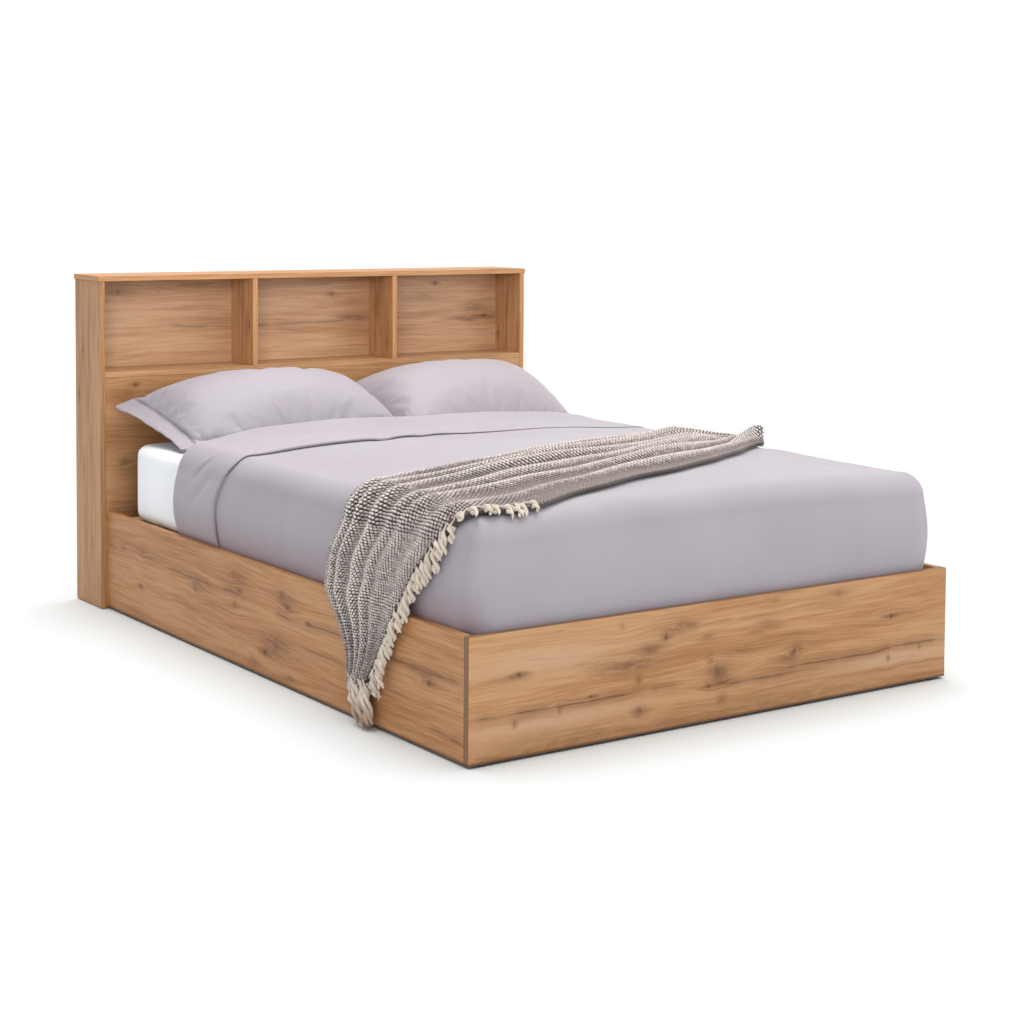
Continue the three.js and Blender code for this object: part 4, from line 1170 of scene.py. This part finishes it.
def add_duvet_folds(outer, flat_x, flat_y, across, along):
    """Moves the outer grid along its normals: broad puffs, ripples, upright folds on the walls and in the
    foot corners, and the listed creases. All of it fades away under the throw."""
    stage_a, stage_b = across[:, None, 1], along[None, :, 1]
    stage = np.maximum(np.abs(stage_a), np.abs(stage_b))
    wall = smooth(stage - 1.3)
    (long, high), (short, low) = duvet_puffs
    puff = waves(flat_x, flat_y, 11, long) * high + waves(flat_x, flat_y, 12, short) * low
    round_x = flat_x * (np.abs(stage_b) > 0)
    round_y = flat_y * (np.abs(stage_b) == 0)
    (long, high), (short, low) = duvet_uprights
    upright = waves(round_x + 0.3, round_y, 13, long) * high + waves(round_x, round_y, 14, short) * low
    angle = np.arctan2(np.abs(stage_b), np.maximum(np.abs(stage_a), 1e-6))
    in_corner = (np.abs(stage_a) > 0) & (np.abs(stage_b) > 0)
    tuck = np.zeros_like(flat_x)
    for place, width, depth in corner_tucks:
        tuck = tuck + depth * np.exp(-(((angle - place) / width) ** 2))
    tuck = tuck * in_corner * smooth(np.minimum(np.abs(stage_a), np.abs(stage_b)) / 1.6)
    drawn = creases(flat_x, flat_y, duvet_creases)
    move = (puff + drawn) * (1 - 0.4 * wall) + upright * wall + tuck
    move = move * (1 - 0.6 * smooth(stage - 2.1)) * (1 - throw_cover(flat_x, flat_y))
    normals = grid_normals(cover_points(duvet_cover, across, along))
    return outer + normals * np.where(normals[..., 2:] < -0.2, -1, 1) * move[..., None]


def build_duvet():
    """Joins the outer grid, the roll at its head edge and the lining into one closed piece. The roll
    is a half circle from the outer surface to the lining."""
    outer, inner, flat_x, flat_y = duvet_grid()
    middle = (outer[:, -1] + inner[:, -1]) / 2
    arm = (outer[:, -1] - inner[:, -1]) / 2
    radius = np.linalg.norm(arm, axis=-1, keepdims=True)
    turn = np.linspace(0, np.pi, 15)[1:-1]
    headward = np.array([0.0, 1.0, 0.0])
    roll = (middle[:, None] + arm[:, None] * np.cos(turn)[None, :, None]
            + (radius * headward)[:, None] * np.sin(turn)[None, :, None])
    outer = np.concatenate([outer, roll], axis=1)
    spread = np.linspace(0, 1, len(turn) + 1)[None, 1:, None]
    last_cell = inner[:, -2:-1] + (inner[:, -1:] - inner[:, -2:-1]) * spread
    inner = np.concatenate([inner[:, :-1], last_cell[:, :1], last_cell], axis=1)
    roll_length = flat_y[:, -1:] + radius * turn[None, :]
    flat = np.stack([np.concatenate([flat_x, np.repeat(flat_x[:, -1:], len(turn), 1)], 1),
                     np.concatenate([flat_y, roll_length], 1)], axis=-1)
    duvet = make_shell("duvet_cover", outer, inner, duvet_cotton, flat)
    finish_piece(duvet, "satin_cotton", "duvet")


build_duvet()

# %% [markdown]
# The pillows lean against the headboard: the front seam lies on the mattress and the back seam is
# raised. Each starts a little flat and is then blown up as cloth by Blender, a little larger than
# its rest shape and held at its seam, which draws the puckers along the seams. The outer end is a
# flat flange that droops beyond its line of stitching.

# %% Shape of a pillow
# In braces, -1 is the near pillow and 1 the far one.
pillow_length = 0.706
pillow_depth = 0.358
pillow_back_room = 0.017
pillow_side_insets = {-1: 0.016, 1: 0.003}
pillow_flanges = {-1: flange_share, 1: flange_share / 3}
pillow_held_flanges = {-1: flange_share, 1: flange_share * 0.3}
pillow_front_sweep = 0.045
pillow_split = 0.003
pillow_parting = 0.036
pillow_lean = 0.050
pillow_droop = 0.020
pillow_crumple = 0.0045
pillow_skews = {-1: 0.10, 1: -0.04}
pillow_rises = (0.008, 0.116)
pillow_crown = 0.112
pillow_under_crown = 0.086
pillow_draws = (0.018, 0.026)
pillow_pressure = 3.6
pillow_slacks = {-1: 0.035, 1: 0.022}
pillow_frames = 20
pillow_cap = 0.020
pillow_power = 0.60
pillow_seam_half = 0.0025
pillow_floor = mattress_high[Z] + 0.0003
pillow_room = (duvet_high[Y] + 0.006, head_front - 0.0015)
pillow_rows, pillow_columns = 112, 72


def pillow_grid(side, up, across, along):
    """One face of a pillow: a crown of (1 - |s|³)(1 - t²) to a power between its seams, where s runs
    across the bed and t along it, both from -1 to 1."""
    s, t = 2 * across[:, None] - 1, 2 * along[None, :] - 1
    inner_edge = pillow_parting + pillow_lean * (1 - along[None, :]) + side * pillow_split
    sweep = pillow_front_sweep * (1 - along[None, :]) if side < 0 else 0.0
    outer_edge = side * (pillow_length - pillow_side_insets[side] - sweep)
    x = inner_edge + (outer_edge - inner_edge) * across[:, None]
    x = x - side * pillow_draws[0] * (1 - t * t) * s ** 3
    back = head_front - pillow_back_room
    y = back - pillow_depth * (1 - along[None, :]) - np.maximum(0, pillow_draws[1] * (1 - s * s) * t ** 3)
    seam = mattress_high[Z] + pillow_rises[0] + (pillow_rises[1] - pillow_rises[0]) * along[None, :]
    flange = pillow_flanges[side]
    s_full = np.clip(across[:, None] / (1 - flange), 0, 1) * 2 - 1
    s_full = s_full + pillow_skews[side] * (1 - s_full ** 2)
    full = np.maximum((1 - np.abs(s_full) ** 3) * (1 - t * t), 0) ** pillow_power
    hem = np.clip((across[:, None] - 1 + flange) / flange, 0, 1)
    seam = seam - hem * along[None, :] * pillow_droop
    crumple = waves(along[None, :], hem * 0.4, 61, 0.22) * pillow_crumple
    seam = seam + hem * smooth(along[None, :] / 0.2) * crumple
    if up:
        z = seam + pillow_seam_half + pillow_crown * full
    else:
        z = np.maximum(pillow_floor, seam - pillow_seam_half - pillow_under_crown * full)
    return np.stack(np.broadcast_arrays(x, y, z), axis=-1)


print("pillows:", pillow_length, "by", pillow_depth, "m as they lean")

# %% [markdown]
# The cloth run starts from that shape, with the seams held and the skin a little larger than the
# frame it is held in. The pressure of the filling then rounds the crown and draws the puckers.


# %% Pillows
def blow_up(piece, held, slack):
    """Blender's cloth with pressure inside, run on the piece and read back as points. held is true
    for the points of the seam, which stay, and slack is how much larger than its rest shape the
    cloth is. No point moves further than the cap."""
    rest = np.empty(len(piece.data.vertices) * 3, dtype=np.float32)
    piece.data.vertices.foreach_get("co", rest)
    rest = rest.reshape(-1, 3)
    group = piece.vertex_groups.new(name="seam")
    group.add([int(index) for index in np.flatnonzero(held)], 1.0, "REPLACE")
    cloth = piece.modifiers.new("cloth", "CLOTH")
    settings = cloth.settings
    settings.quality = 6
    settings.mass = 0.2
    settings.tension_stiffness = settings.compression_stiffness = 18
    settings.shear_stiffness = 8
    settings.bending_stiffness = 0.12
    settings.use_pressure = True
    settings.uniform_pressure_force = pillow_pressure
    settings.shrink_min = -slack
    settings.vertex_group_mass = "seam"
    settings.effector_weights.gravity = 0.0
    cloth.collision_settings.use_collision = False
    cloth.point_cache.frame_start, cloth.point_cache.frame_end = 1, pillow_frames
    for frame_number in range(1, pillow_frames + 1):
        bpy.context.scene.frame_set(frame_number)
    shaped = piece.evaluated_get(bpy.context.evaluated_depsgraph_get())
    blown = np.empty_like(rest).ravel()
    shaped.data.vertices.foreach_get("co", blown)
    piece.modifiers.remove(cloth)
    bpy.context.scene.frame_set(1)
    piece.vertex_groups.remove(group)
    move = blown.reshape(-1, 3) - rest
    far = np.linalg.norm(move, axis=1, keepdims=True)
    return rest + move * np.minimum(1, pillow_cap / np.maximum(far, 1e-9))


def build_pillow(name, side, material):
    """A pillow of two faces joined at the seam, blown up, then stitched along the flange."""
    even = [np.linspace(0, 1, count) for count in (pillow_rows, pillow_columns)]
    across, along = [(share + (1 - np.cos(np.pi * share)) / 2) / 2 for share in even]
    top, under = pillow_grid(side, True, across, along), pillow_grid(side, False, across, along)
    flat = np.stack([travel(top, 0), travel(top, 1)], axis=-1)
    piece = make_shell(name, top, under, material, flat)
    rim = np.zeros((2, pillow_rows, pillow_columns), dtype=bool)
    rim[:, [0, -1], :] = True
    rim[:, :, [0, -1]] = True
    rim[:, across > 1 - pillow_held_flanges[side], :] = True
    points = blow_up(piece, rim.ravel(), pillow_slacks[side])
    points[:, 2] = np.maximum(points[:, 2], pillow_floor)
    points[:, 1] = np.clip(points[:, 1], *pillow_room)
    piece.data.vertices.foreach_set("co", points.astype(np.float32).ravel())
    piece.data.update()
    add_tone(piece, np.broadcast_to(across[None, :, None], (2, pillow_rows, pillow_columns)))
    puff = piece.modifiers.new("smoother", "SUBSURF")
    puff.levels = puff.render_levels = 1
    finish_piece(piece, "satin_cotton", name.replace("_cushion", ""))


build_pillow("pillow_left_cushion", -1, pillow_cotton)
build_pillow("pillow_right_cushion", 1, far_pillow_cotton_painted_shade)
on_the_far_pillow.objects.link(bpy.data.objects["pillow_right_cushion"])

# %% [markdown]
# The throw is knitted from thick yarn in three tones: a dark taupe ground, which is the yarn's own taupe
# darkened as painted shade between the stitches; stitches from taupe to cream, paler on the crests of the
# folds as painted light and darker in the hollows as painted shade; and a cream fringe that turns darker and
# browner at its lowest tips, and darker in the grooves of its twist as painted shade. Where each tone goes
# is a number kept on the mesh, and fine noise in metres gives the fuzz of the strands.

# %% Yarn of the throw
# Taupe made much darker for the ground: painted shade between the stitches, over the yarn's own taupe.
TAUPE_GAP_SHADE = srgb(86, 73, 68)
TAUPE_GAP_SHADE_DEEP = srgb(62, 52, 48)
YARN_CREAM = srgb(228, 217, 212)
YARN_TAUPE = srgb(118, 104, 99)
FRINGE_CREAM = srgb(214, 203, 190)
FRINGE_BROWN = srgb(150, 116, 90)
fuzz_rate = 900.0


def wool(name, low, high):
    """Fuzzy yarn: two tones blended by the tone kept on the mesh, with fine strands."""
    material, tree, shader = new_material(name, 0.9, Sheen_Weight=0.3, Specular_IOR_Level=0.2)
    tone = Field(add_node(tree, "ShaderNodeAttribute", attribute_name="tone").outputs["Fac"])
    fuzz = noise(tree, [axis * fuzz_rate for axis in board_place(tree, X, Y, Z)], 3.0, 0.6)
    plug(tree, shader, [("Base Color", blend_colours(tree, tone * 0.8 + fuzz * 0.3, low, high))])
    add_bump(tree, shader, fuzz, 0.001, 0.5)
    return material


# The ground is the yarn's taupe made much darker: painted shade between the stitches.
ground_wool_and_gap_shade = wool("throw_ground_wool_painted_shade", TAUPE_GAP_SHADE_DEEP, TAUPE_GAP_SHADE)
stitch_wool = wool("throw_stitch_wool", YARN_TAUPE, YARN_CREAM)
fringe_wool = wool("throw_fringe_wool", FRINGE_BROWN, FRINGE_CREAM)
print("yarn: three tones")

# %% [markdown]
# The cloth of the throw is one sheet, gathered into folds that run along it: the head-side edge is
# turned under, the near end drops over the side of the bed and eases out over the rail, and its
# corner hangs almost to the floor. A point on the cloth is found from its share of the run and its
# place across, where a negative place lies round the turned edge and under the top layer.

# %% Shape of the throw
throw_gap = 0.0025
throw_thickness = 0.0045
# How high the two layers lie over the line under the throw.
throw_low = 0.0035
throw_high = 0.0085
# The part of the places across that the turned edge takes, and how far the under layer reaches.
throw_turn = 0.02
throw_under = 0.985
throw_start = 0.012
throw_end = 0.962
throw_step = 1e-4
throw_rail_ease = 0.060
throw_rail_clear = 0.008
fringe_start = 0.636
fringe_spread = 0.690
fringe_line = 0.966
fringe_room = 0.044
ridge_wander = 0.018
ridge_swell = 0.22
# The folds of the throw at six stations of the run: the places across of each, its widths in
# thousandths of the cloth's width and its heights in millimetres.
ridge_stations = (0.02, 0.12, 0.33, 0.66, 0.80, 1.0)
throw_ridges = [
    ((0.05, 0.05, 0.06, 0.07, 0.07, 0.10), (45, 50, 45, 45, 45, 60), (6, 26, 15, 12, 8, 6)),
    ((0.25, 0.22, 0.20, 0.18, 0.20, 0.30), (45, 60, 42, 45, 45, 60), (8, 32, 24, 15, 10, 9)),
    ((0.42, 0.40, 0.37, 0.32, 0.36, 0.50), (50, 50, 42, 45, 55, 70), (6, 20, 26, 18, 13, 10)),
    ((0.58, 0.56, 0.53, 0.46, 0.51, 0.68), (50, 50, 46, 50, 50, 70), (5, 22, 22, 13, 11, 10)),
    ((0.72, 0.72, 0.69, 0.60, 0.66, 0.83), (60, 50, 42, 55, 60, 60), (28, 16, 25, 9, 8, 8)),
    ((0.86, 0.88, 0.86, 0.84, 0.86, 0.94), (80, 50, 46, 60, 60, 50), (40, 18, 18, 6, 6, 4)),
]


def throw_line(flat):
    """The line under the throw in a section across the bed, with its outward normal: flat over the
    duvet, round its edge, down its side and eased out over the rail."""
    near = np.where(flat < 0, -1.0, 1.0)
    over = np.abs(flat) - duvet_cover["core_x"]
    margin = duvet_cover["corner"] - duvet_cover["edge"]
    radius = duvet_cover["edge"] + throw_gap
    crown = duvet_cover["crown"] * dome(flat / duvet_cover["core_x"])
    turn = np.clip((over - margin) / radius, 0, np.pi / 2)
    wall = np.maximum(over - margin - turn * radius, 0)
    z = duvet_cover["top"] + throw_gap - crown - radius * (1 - np.cos(turn)) - wall
    room = duvet_cover["top"] - crown - duvet_cover["edge"] - duvet_cover["hem"]
    reach = duvet_cover["core_x"] + margin + radius * np.sin(turn)
    reach = reach + duvet_cover["bulge"] * np.sin(np.pi * np.minimum(1, wall / room))
    eased = smooth((rail_top + throw_rail_ease - z) / (throw_rail_ease - throw_rail_clear))
    reach = reach + (np.maximum(reach, rail_outer + throw_gap) - reach) * eased
    x = np.where(over <= margin, flat, near * reach)
    return x, z, near * np.sin(turn), np.cos(turn)


def throw_height(share, across):
    """The height of the top layer over the line below it: its own level, which sinks towards the
    foot-side edge where nothing is turned under, plus ridges that wander, swell and fade."""
    height = throw_high - (throw_high - throw_low) * smooth((across - throw_under) / 0.06)
    ridges = np.zeros(np.broadcast(share, across).shape)
    for places, widths, heights in throw_ridges:
        middle = np.interp(share, ridge_stations, places)
        middle = middle + ridge_wander * np.sin(9.0 * share + 14 * places[0])
        width = np.interp(share, ridge_stations, widths) * 0.001
        rise = np.interp(share, ridge_stations, heights) * 0.001
        rise = rise * (1 + ridge_swell * np.sin(17 * share + 31 * places[1]))
        ridges = np.maximum(ridges, rise * np.exp(-(((across - middle) / width) ** 2)))
    return height + ridges * smooth((1.02 - across) / 0.08)


def foot_drop(y):
    """How far the duvet's top has sunk at a place on its rounded foot edge."""
    radius = duvet_cover["edge"]
    over = duvet_cover["core_foot"] - (duvet_cover["corner"] - radius) - y
    return radius - np.sqrt(radius ** 2 - np.clip(over, 0, radius * 0.98) ** 2)


def throw_points(share, across):
    """Points of the cloth's middle surface at a share of the run and a place across."""
    x, z, normal_x, normal_z = throw_line(throw_far_reach - throw_run * share)
    head_side, foot_side = throw_sides(share)
    foot_side = foot_side + fringe_room * smooth((share - fringe_spread) / 0.12)
    ripple = 0.004 * np.sin(21 * share) + 0.003 * np.sin(47 * share + 1)
    turned = np.clip(-across / throw_turn, 0, 1) * np.pi
    place = np.where(across >= 0, across, np.maximum(-across - throw_turn, 0))
    top = throw_height(share, np.maximum(across, 0))
    middle, arm = (top + throw_low) / 2, (top - throw_low) / 2
    height = middle + arm * np.cos(turned)
    y = head_side + (foot_side - head_side) * place + ripple + arm * np.sin(turned)
    return np.stack([x + height * normal_x, y, z + (height - foot_drop(y)) * normal_z], axis=-1)


def throw_frame(share, across):
    """Points of the cloth with the unit directions along the run, across it and out of the cloth."""
    points = throw_points(share, across)
    on = throw_points(share + throw_step, across) - points
    over = throw_points(share, across + throw_step) - points
    on = on / np.linalg.norm(on, axis=-1, keepdims=True)
    out = np.cross(on, over)
    out = out / np.maximum(np.linalg.norm(out, axis=-1, keepdims=True), 1e-12)
    return points, on, np.cross(out, on), out


# %% [markdown]
# The sheet is one grid over that shape: closely spaced round the turned edge, evenly spaced on top
# and wider apart underneath, where nothing of it shows. A Solidify modifier gives it the thickness
# of the knit.

# %% Cloth of the throw
def build_throw_cloth():
    """The sheet itself, given its thickness by a Solidify modifier. Returns the piece."""
    share = np.linspace(throw_start, throw_end, 240)[:, None]
    under = np.linspace(-throw_under - throw_turn, -throw_turn, 40)
    turned, top = np.linspace(-throw_turn, 0, 9), np.linspace(0, 1, 96)
    across = np.concatenate([under[:-1], turned[:-1], top])[None, :]
    share, across = np.broadcast_arrays(share, across)
    points = throw_points(share, across)
    flat = np.stack([travel(points, 1), travel(points, 0)], axis=-1)
    faces = grid_faces(*points.shape[:2])
    cloth = make_mesh("throw_cloth", points, faces, ground_wool_and_gap_shade, flat)
    solid = cloth.modifiers.new("thickness", "SOLIDIFY")
    solid.thickness = throw_thickness
    solid.offset = 0.0
    finish_piece(cloth, "throw_knit", "throw")
    return cloth


throw_cloth = build_throw_cloth()

# %% [markdown]
# Each stitch is a small bean of yarn that lies across the cloth at a slant, in rows that are offset like
# bricks, so the dark ground, painted shade, shows between them. All the beans are one array: the corners of
# a unit bean are scaled along three directions of the cloth and moved to the middle of each stitch.

# %% Stitches of the throw
stitch_pitch = 0.0064
stitch_size = (0.0037, 0.0055, 0.0024)
stitch_slant = math.radians(28)
stitch_columns = 46
stitch_spread = (0.014, 1.075, 0.07)
stitch_shift = 0.00035
stitch_least = 0.0026
shoulder_share = 0.62
# The tone of a stitch in a hollow, which is painted shade, the painted light that a full crest adds, how
# high that is, and the part of chance.
painted_hollow_shade = -0.16
painted_crest_light = 1.10
painted_crest_height = 0.018
tone_chance = 0.15


def unit_bean():
    """A capsule of three rings of four corners between two poles, with its triangles."""
    turn = np.arange(4) * np.pi / 2 + np.pi / 4
    corners = [(0.0, -1.0, 0.0)]
    for place, size in ((-0.62, 0.80), (0.0, 1.0), (0.62, 0.80)):
        corners += [(size * math.cos(a), place, size * math.sin(a)) for a in turn]
    corners += [(0.0, 1.0, 0.0)]
    faces = []
    for a in range(4):
        b = (a + 1) % 4
        faces += [(0, 1 + a, 1 + b), (13, 9 + b, 9 + a)]
        for ring in (1, 5):
            faces += [(ring + a, ring + 4 + a, ring + 4 + b), (ring + a, ring + 4 + b, ring + b)]
    return np.array(corners), np.array(faces)


def stitch_places(draw):
    """The share and the place across of every stitch: rows offset like bricks, and each stitch moved
    by chance a little along the throw."""
    rows = int((throw_end - throw_start) * throw_run / stitch_pitch)
    first_share, wide, turned_under = stitch_spread
    share = np.linspace(first_share, throw_end - 0.002, rows)
    column = (np.arange(stitch_columns) + 0.5) / stitch_columns
    share, across = np.meshgrid(share, column * wide - turned_under, indexing="ij")
    odd = np.arange(rows)[:, None] % 2
    across = across + (odd - 0.5) * 0.5 / stitch_columns
    return share + draw.uniform(-stitch_shift, stitch_shift, share.shape), across


def stitch_tones(draw, share, across):
    """The tone of each stitch: paler on the crests of the folds, as painted light, with the crests taken a
    little towards the head so that the slopes that face the foot take painted shade; paler where the throw
    turns down the side and darker towards the tip, as painted light and shade; with a slow drift and a
    little chance."""
    # Painted light on the crests and painted shade in the hollows, measured a little towards the head.
    raised = throw_height(share, np.maximum(across, 0) + 0.014) - throw_high
    crest = smooth((raised / painted_crest_height - 0.06) / 0.72)
    fallen = smooth((share - shoulder_share) / 0.15)
    painted_side_light_tip_shade = fallen * 0.54 - smooth((share - 0.84) / 0.10) * 0.50
    drift = waves(share, across * 0.4, 43, 0.35)
    tones = painted_hollow_shade + painted_side_light_tip_shade + (painted_crest_light - 0.42 * fallen) * crest + 0.10 * drift
    return np.clip(tones + draw.normal(0, tone_chance, len(share)), 0, 1)


def build_stitches():
    """All stitches as two pieces, the lying part and the hanging part. Beans slant across the cloth,
    and level out on the foot side of the hanging part."""
    draw = np.random.default_rng(41)
    share, across = stitch_places(draw)
    points, on, over, out = throw_frame(share, across)
    gap = np.linalg.norm(np.gradient(points, axis=1), axis=-1)
    keep = across < np.where(share > fringe_start + 0.01, fringe_line - 0.018, 0.995)
    fallen = smooth((share - shoulder_share) / 0.15)
    reach = np.clip(gap * 0.47, stitch_least, stitch_size[1]) * (0.92 + 0.16 * fallen)
    level = smooth((across - 0.40) / 0.25) * smooth((share - 0.60) / 0.10)
    slant = (stitch_slant * (1 - level))[..., None]
    slant_on = on * np.cos(slant) + over * np.sin(slant)
    slant_over = over * np.cos(slant) - on * np.sin(slant)
    centre = points + out * (throw_thickness / 2 + stitch_size[2] * 0.55)
    corners, faces = unit_bean()
    beans = (centre[:, :, None] + slant_on[:, :, None] * (corners[:, 0] * stitch_size[0])[:, None]
             + slant_over[:, :, None] * corners[:, 1][:, None] * reach[:, :, None, None]
             + out[:, :, None] * (corners[:, 2] * stitch_size[2])[:, None])[keep]
    tones = stitch_tones(draw, share[keep], across[keep])
    hanging = share[keep] > shoulder_share
    pieces = []
    for name, chosen in (("throw_stitches_lying", ~hanging), ("throw_stitches_hanging", hanging)):
        group = beans[chosen]
        numbers = np.arange(len(group))[:, None, None] * len(corners) + faces[None]
        piece = make_mesh(name, group, numbers.reshape(-1, 3), stitch_wool)
        add_tone(piece, np.repeat(tones[chosen], len(corners)))
        finish_piece(piece, "throw_knit", "throw")
        pieces.append(piece)
    return pieces


throw_stitches = build_stitches()

# %% [markdown]
# The near end of the throw is fringed with tassels. Each is two strands that leave the edge a little apart,
# which leaves an eyelet between them where the dark ground of painted shade shows, meet in a knot and go on
# twisted round each other. They lie over the foot edge of the duvet where the throw is up on the bed, hang
# straight down at its side, and bunch up at the tip. A strand is a tube round a line of steps.

# %% Fringe of the throw
tip_tassels = 7
tassel_pitch = 0.0225
tassel_length = 0.060
tassel_knots = (0.52, 0.34)
tassel_steps = 15
tassel_twist = 7.5
strand_radius = 0.0064
strand_sides = 10
# The way a tassel hangs, what the tip takes off it, and the part of chance in both.
tassel_fall = np.array([0.0, -0.13, -1.0])
tip_pull = np.array([0.0, 0.42, 0.0])
tassel_chance = 0.09


def fringe_roots():
    """Places of the tassels along the fringed edge, with their directions, the direction of the edge,
    the outward normals, the lengths, and how far each tassel hangs rather than lies."""
    draw = np.random.default_rng(51)
    share = np.linspace(fringe_start, throw_end, 600)
    edge = throw_points(share, np.full_like(share, fringe_line))
    length = np.concatenate([[0], np.cumsum(np.linalg.norm(np.diff(edge, axis=0), axis=1))])
    count = int(length[-1] / tassel_pitch)
    share = np.interp(np.arange(count) * tassel_pitch + 0.004, length, share)
    across = np.full(count, fringe_line)
    at_tip = np.concatenate([np.linspace(0.15, 0.93, tip_tassels), np.linspace(0.22, 0.9, tip_tassels)])
    tip_share = np.repeat([throw_end - 0.003, throw_end - 0.018], tip_tassels)
    share, across = np.concatenate([share, tip_share]), np.concatenate([across, at_tip])
    points, on, over, out = throw_frame(share, across)
    tip = (np.arange(len(share)) >= count)[:, None]
    hang = np.maximum(smooth((-out[:, :1] - 0.45) / 0.40), tip)
    loose = draw.normal(0, tassel_chance, points.shape) * (1 - 0.6 * tip)
    lying = over + on * loose[:, :1] * 2.0
    lying[:, 2] = 0
    falling = tassel_fall + loose - tip * tip_pull
    falling = falling + tip * (points[count:].mean(axis=0) - points) * 3.0
    falling[:, 0] *= 0.3
    way = lying * (1 - hang) + falling * hang
    way = way / np.linalg.norm(way, axis=1, keepdims=True)
    sizes = tassel_length * draw.uniform(0.88, 1.12, len(share)) * (0.64 + 0.36 * hang[:, 0])
    sizes = sizes * (1 + 0.75 * tip[:, 0])
    return points, way, np.where(tip, 0.3 * over, on), out, sizes, hang


def tassel_lines(roots, way, out, sizes, hang, step):
    """The middle line of each tassel: straight on from its root, sunk over the duvet's foot edge
    where it lies there, and ending short of the floor."""
    lift = (throw_thickness / 2 + strand_radius) * out
    floor_room = np.maximum(roots[:, 2] - strand_radius - 0.004, 0.02)
    shortened = np.minimum(sizes, floor_room / np.maximum(-way[:, 2], 0.5))
    sizes = np.where(way[:, 2] < -0.5, shortened, sizes)
    line = roots[:, None] + lift[:, None] + way[:, None] * (sizes[:, None] * step)[..., None]
    line[..., 2] -= (foot_drop(line[..., 1]) - foot_drop(roots[:, 1:2])) * (1 - hang)
    return line


def strand_faces():
    """The cells of one strand, ring joined to ring, and the two caps that close its ends."""
    rings = np.arange(tassel_steps * strand_sides).reshape(tassel_steps, strand_sides)
    after = np.roll(rings, -1, axis=1)
    sides = np.stack([rings[:-1], rings[1:], after[1:], after[:-1]], axis=-1).reshape(-1, 4)
    half = strand_sides // 2
    caps = []
    for ring in (rings[0, ::-1], rings[-1]):
        far, near = ring[-2:half - 1:-1][:half - 1], ring[:half:-1][:half - 1]
        caps.append(np.stack([ring[:half - 1], ring[1:half], far, near], axis=-1))
    return np.concatenate([sides, *caps])


def strand_centres(line, side, front, edge, tied, turn):
    """The middle lines of the two strands of each tassel, which start apart, close up as they are
    tied and wind round each other from there."""
    wound = side[:, None] * np.cos(turn)[..., None] + front[:, None] * np.sin(turn)[..., None]
    wound = wound * (0.72 * strand_radius * tied)[..., None]
    apart = edge[:, None] * (0.5 * tassel_pitch * (1 - tied))[..., None]
    return np.stack([line + apart + wound, line - apart - wound], axis=1)


def strand_girth(step, knot, tied, hang):
    """How thick a strand is at each step, as a share of its full radius: thin at its root, thickest
    at the knot and thin again at its end."""
    belly = 0.36 + 0.48 * tied ** 2 + 0.20 * np.exp(-((step[None] - knot) / 0.10) ** 2)
    return belly * (1 - 0.55 * smooth((step[None] - 0.86) / 0.14)) * (0.86 + 0.14 * hang)


def build_fringe():
    """All strands as one mesh, and their tone: cream, turning darker and browner at the lowest tips, and
    darker in the grooves of the twist as painted shade.
    """
    roots, way, edge, out, sizes, hang = fringe_roots()
    count = len(roots)
    step = np.linspace(0, 1, tassel_steps)
    line = tassel_lines(roots, way, out, sizes, hang, step)
    side = np.cross(way, out)
    side = side / np.linalg.norm(side, axis=1, keepdims=True)
    front = np.cross(side, way)
    knot = tassel_knots[0] + (tassel_knots[1] - tassel_knots[0]) * hang
    tied = smooth(step[None] / knot)
    turn = np.maximum(step[None] - 0.5 * knot, 0) * tassel_twist + np.arange(count)[:, None] * 1.9
    centre = strand_centres(line, side, front, edge, tied, turn)
    angle = np.arange(strand_sides) / strand_sides * 2 * np.pi
    ply = 0.90 + 0.10 * np.cos(2 * angle[None] + (step * 14.0)[:, None])
    radius = (strand_radius * strand_girth(step, knot, tied, hang))[:, None, :, None] * ply
    points = (centre[:, :, :, None] + side[:, None, None, None] * (np.cos(angle) * radius)[..., None]
              + front[:, None, None, None] * (np.sin(angle) * radius)[..., None])
    starts = np.arange(2 * count)[:, None, None] * tassel_steps * strand_sides
    faces = (starts + strand_faces()[None]).reshape(-1, 4)
    fringe = make_mesh("throw_fringe", points, faces, fringe_wool)
    low = smooth((0.085 - points[..., 2]) / 0.07)
    shade = np.random.default_rng(52).normal(0, 0.07, (count, 2, 1, 1))
    # Darker and browner near the floor, and painted shade in the grooves of the twist where the strand is
    # thinner.
    add_tone(fringe, np.clip(0.86 - 0.8 * low + shade + 0.5 * (ply - 0.9), 0, 1))
    finish_piece(fringe, "throw_knit", "throw")
    return fringe


throw_fringe = build_fringe()
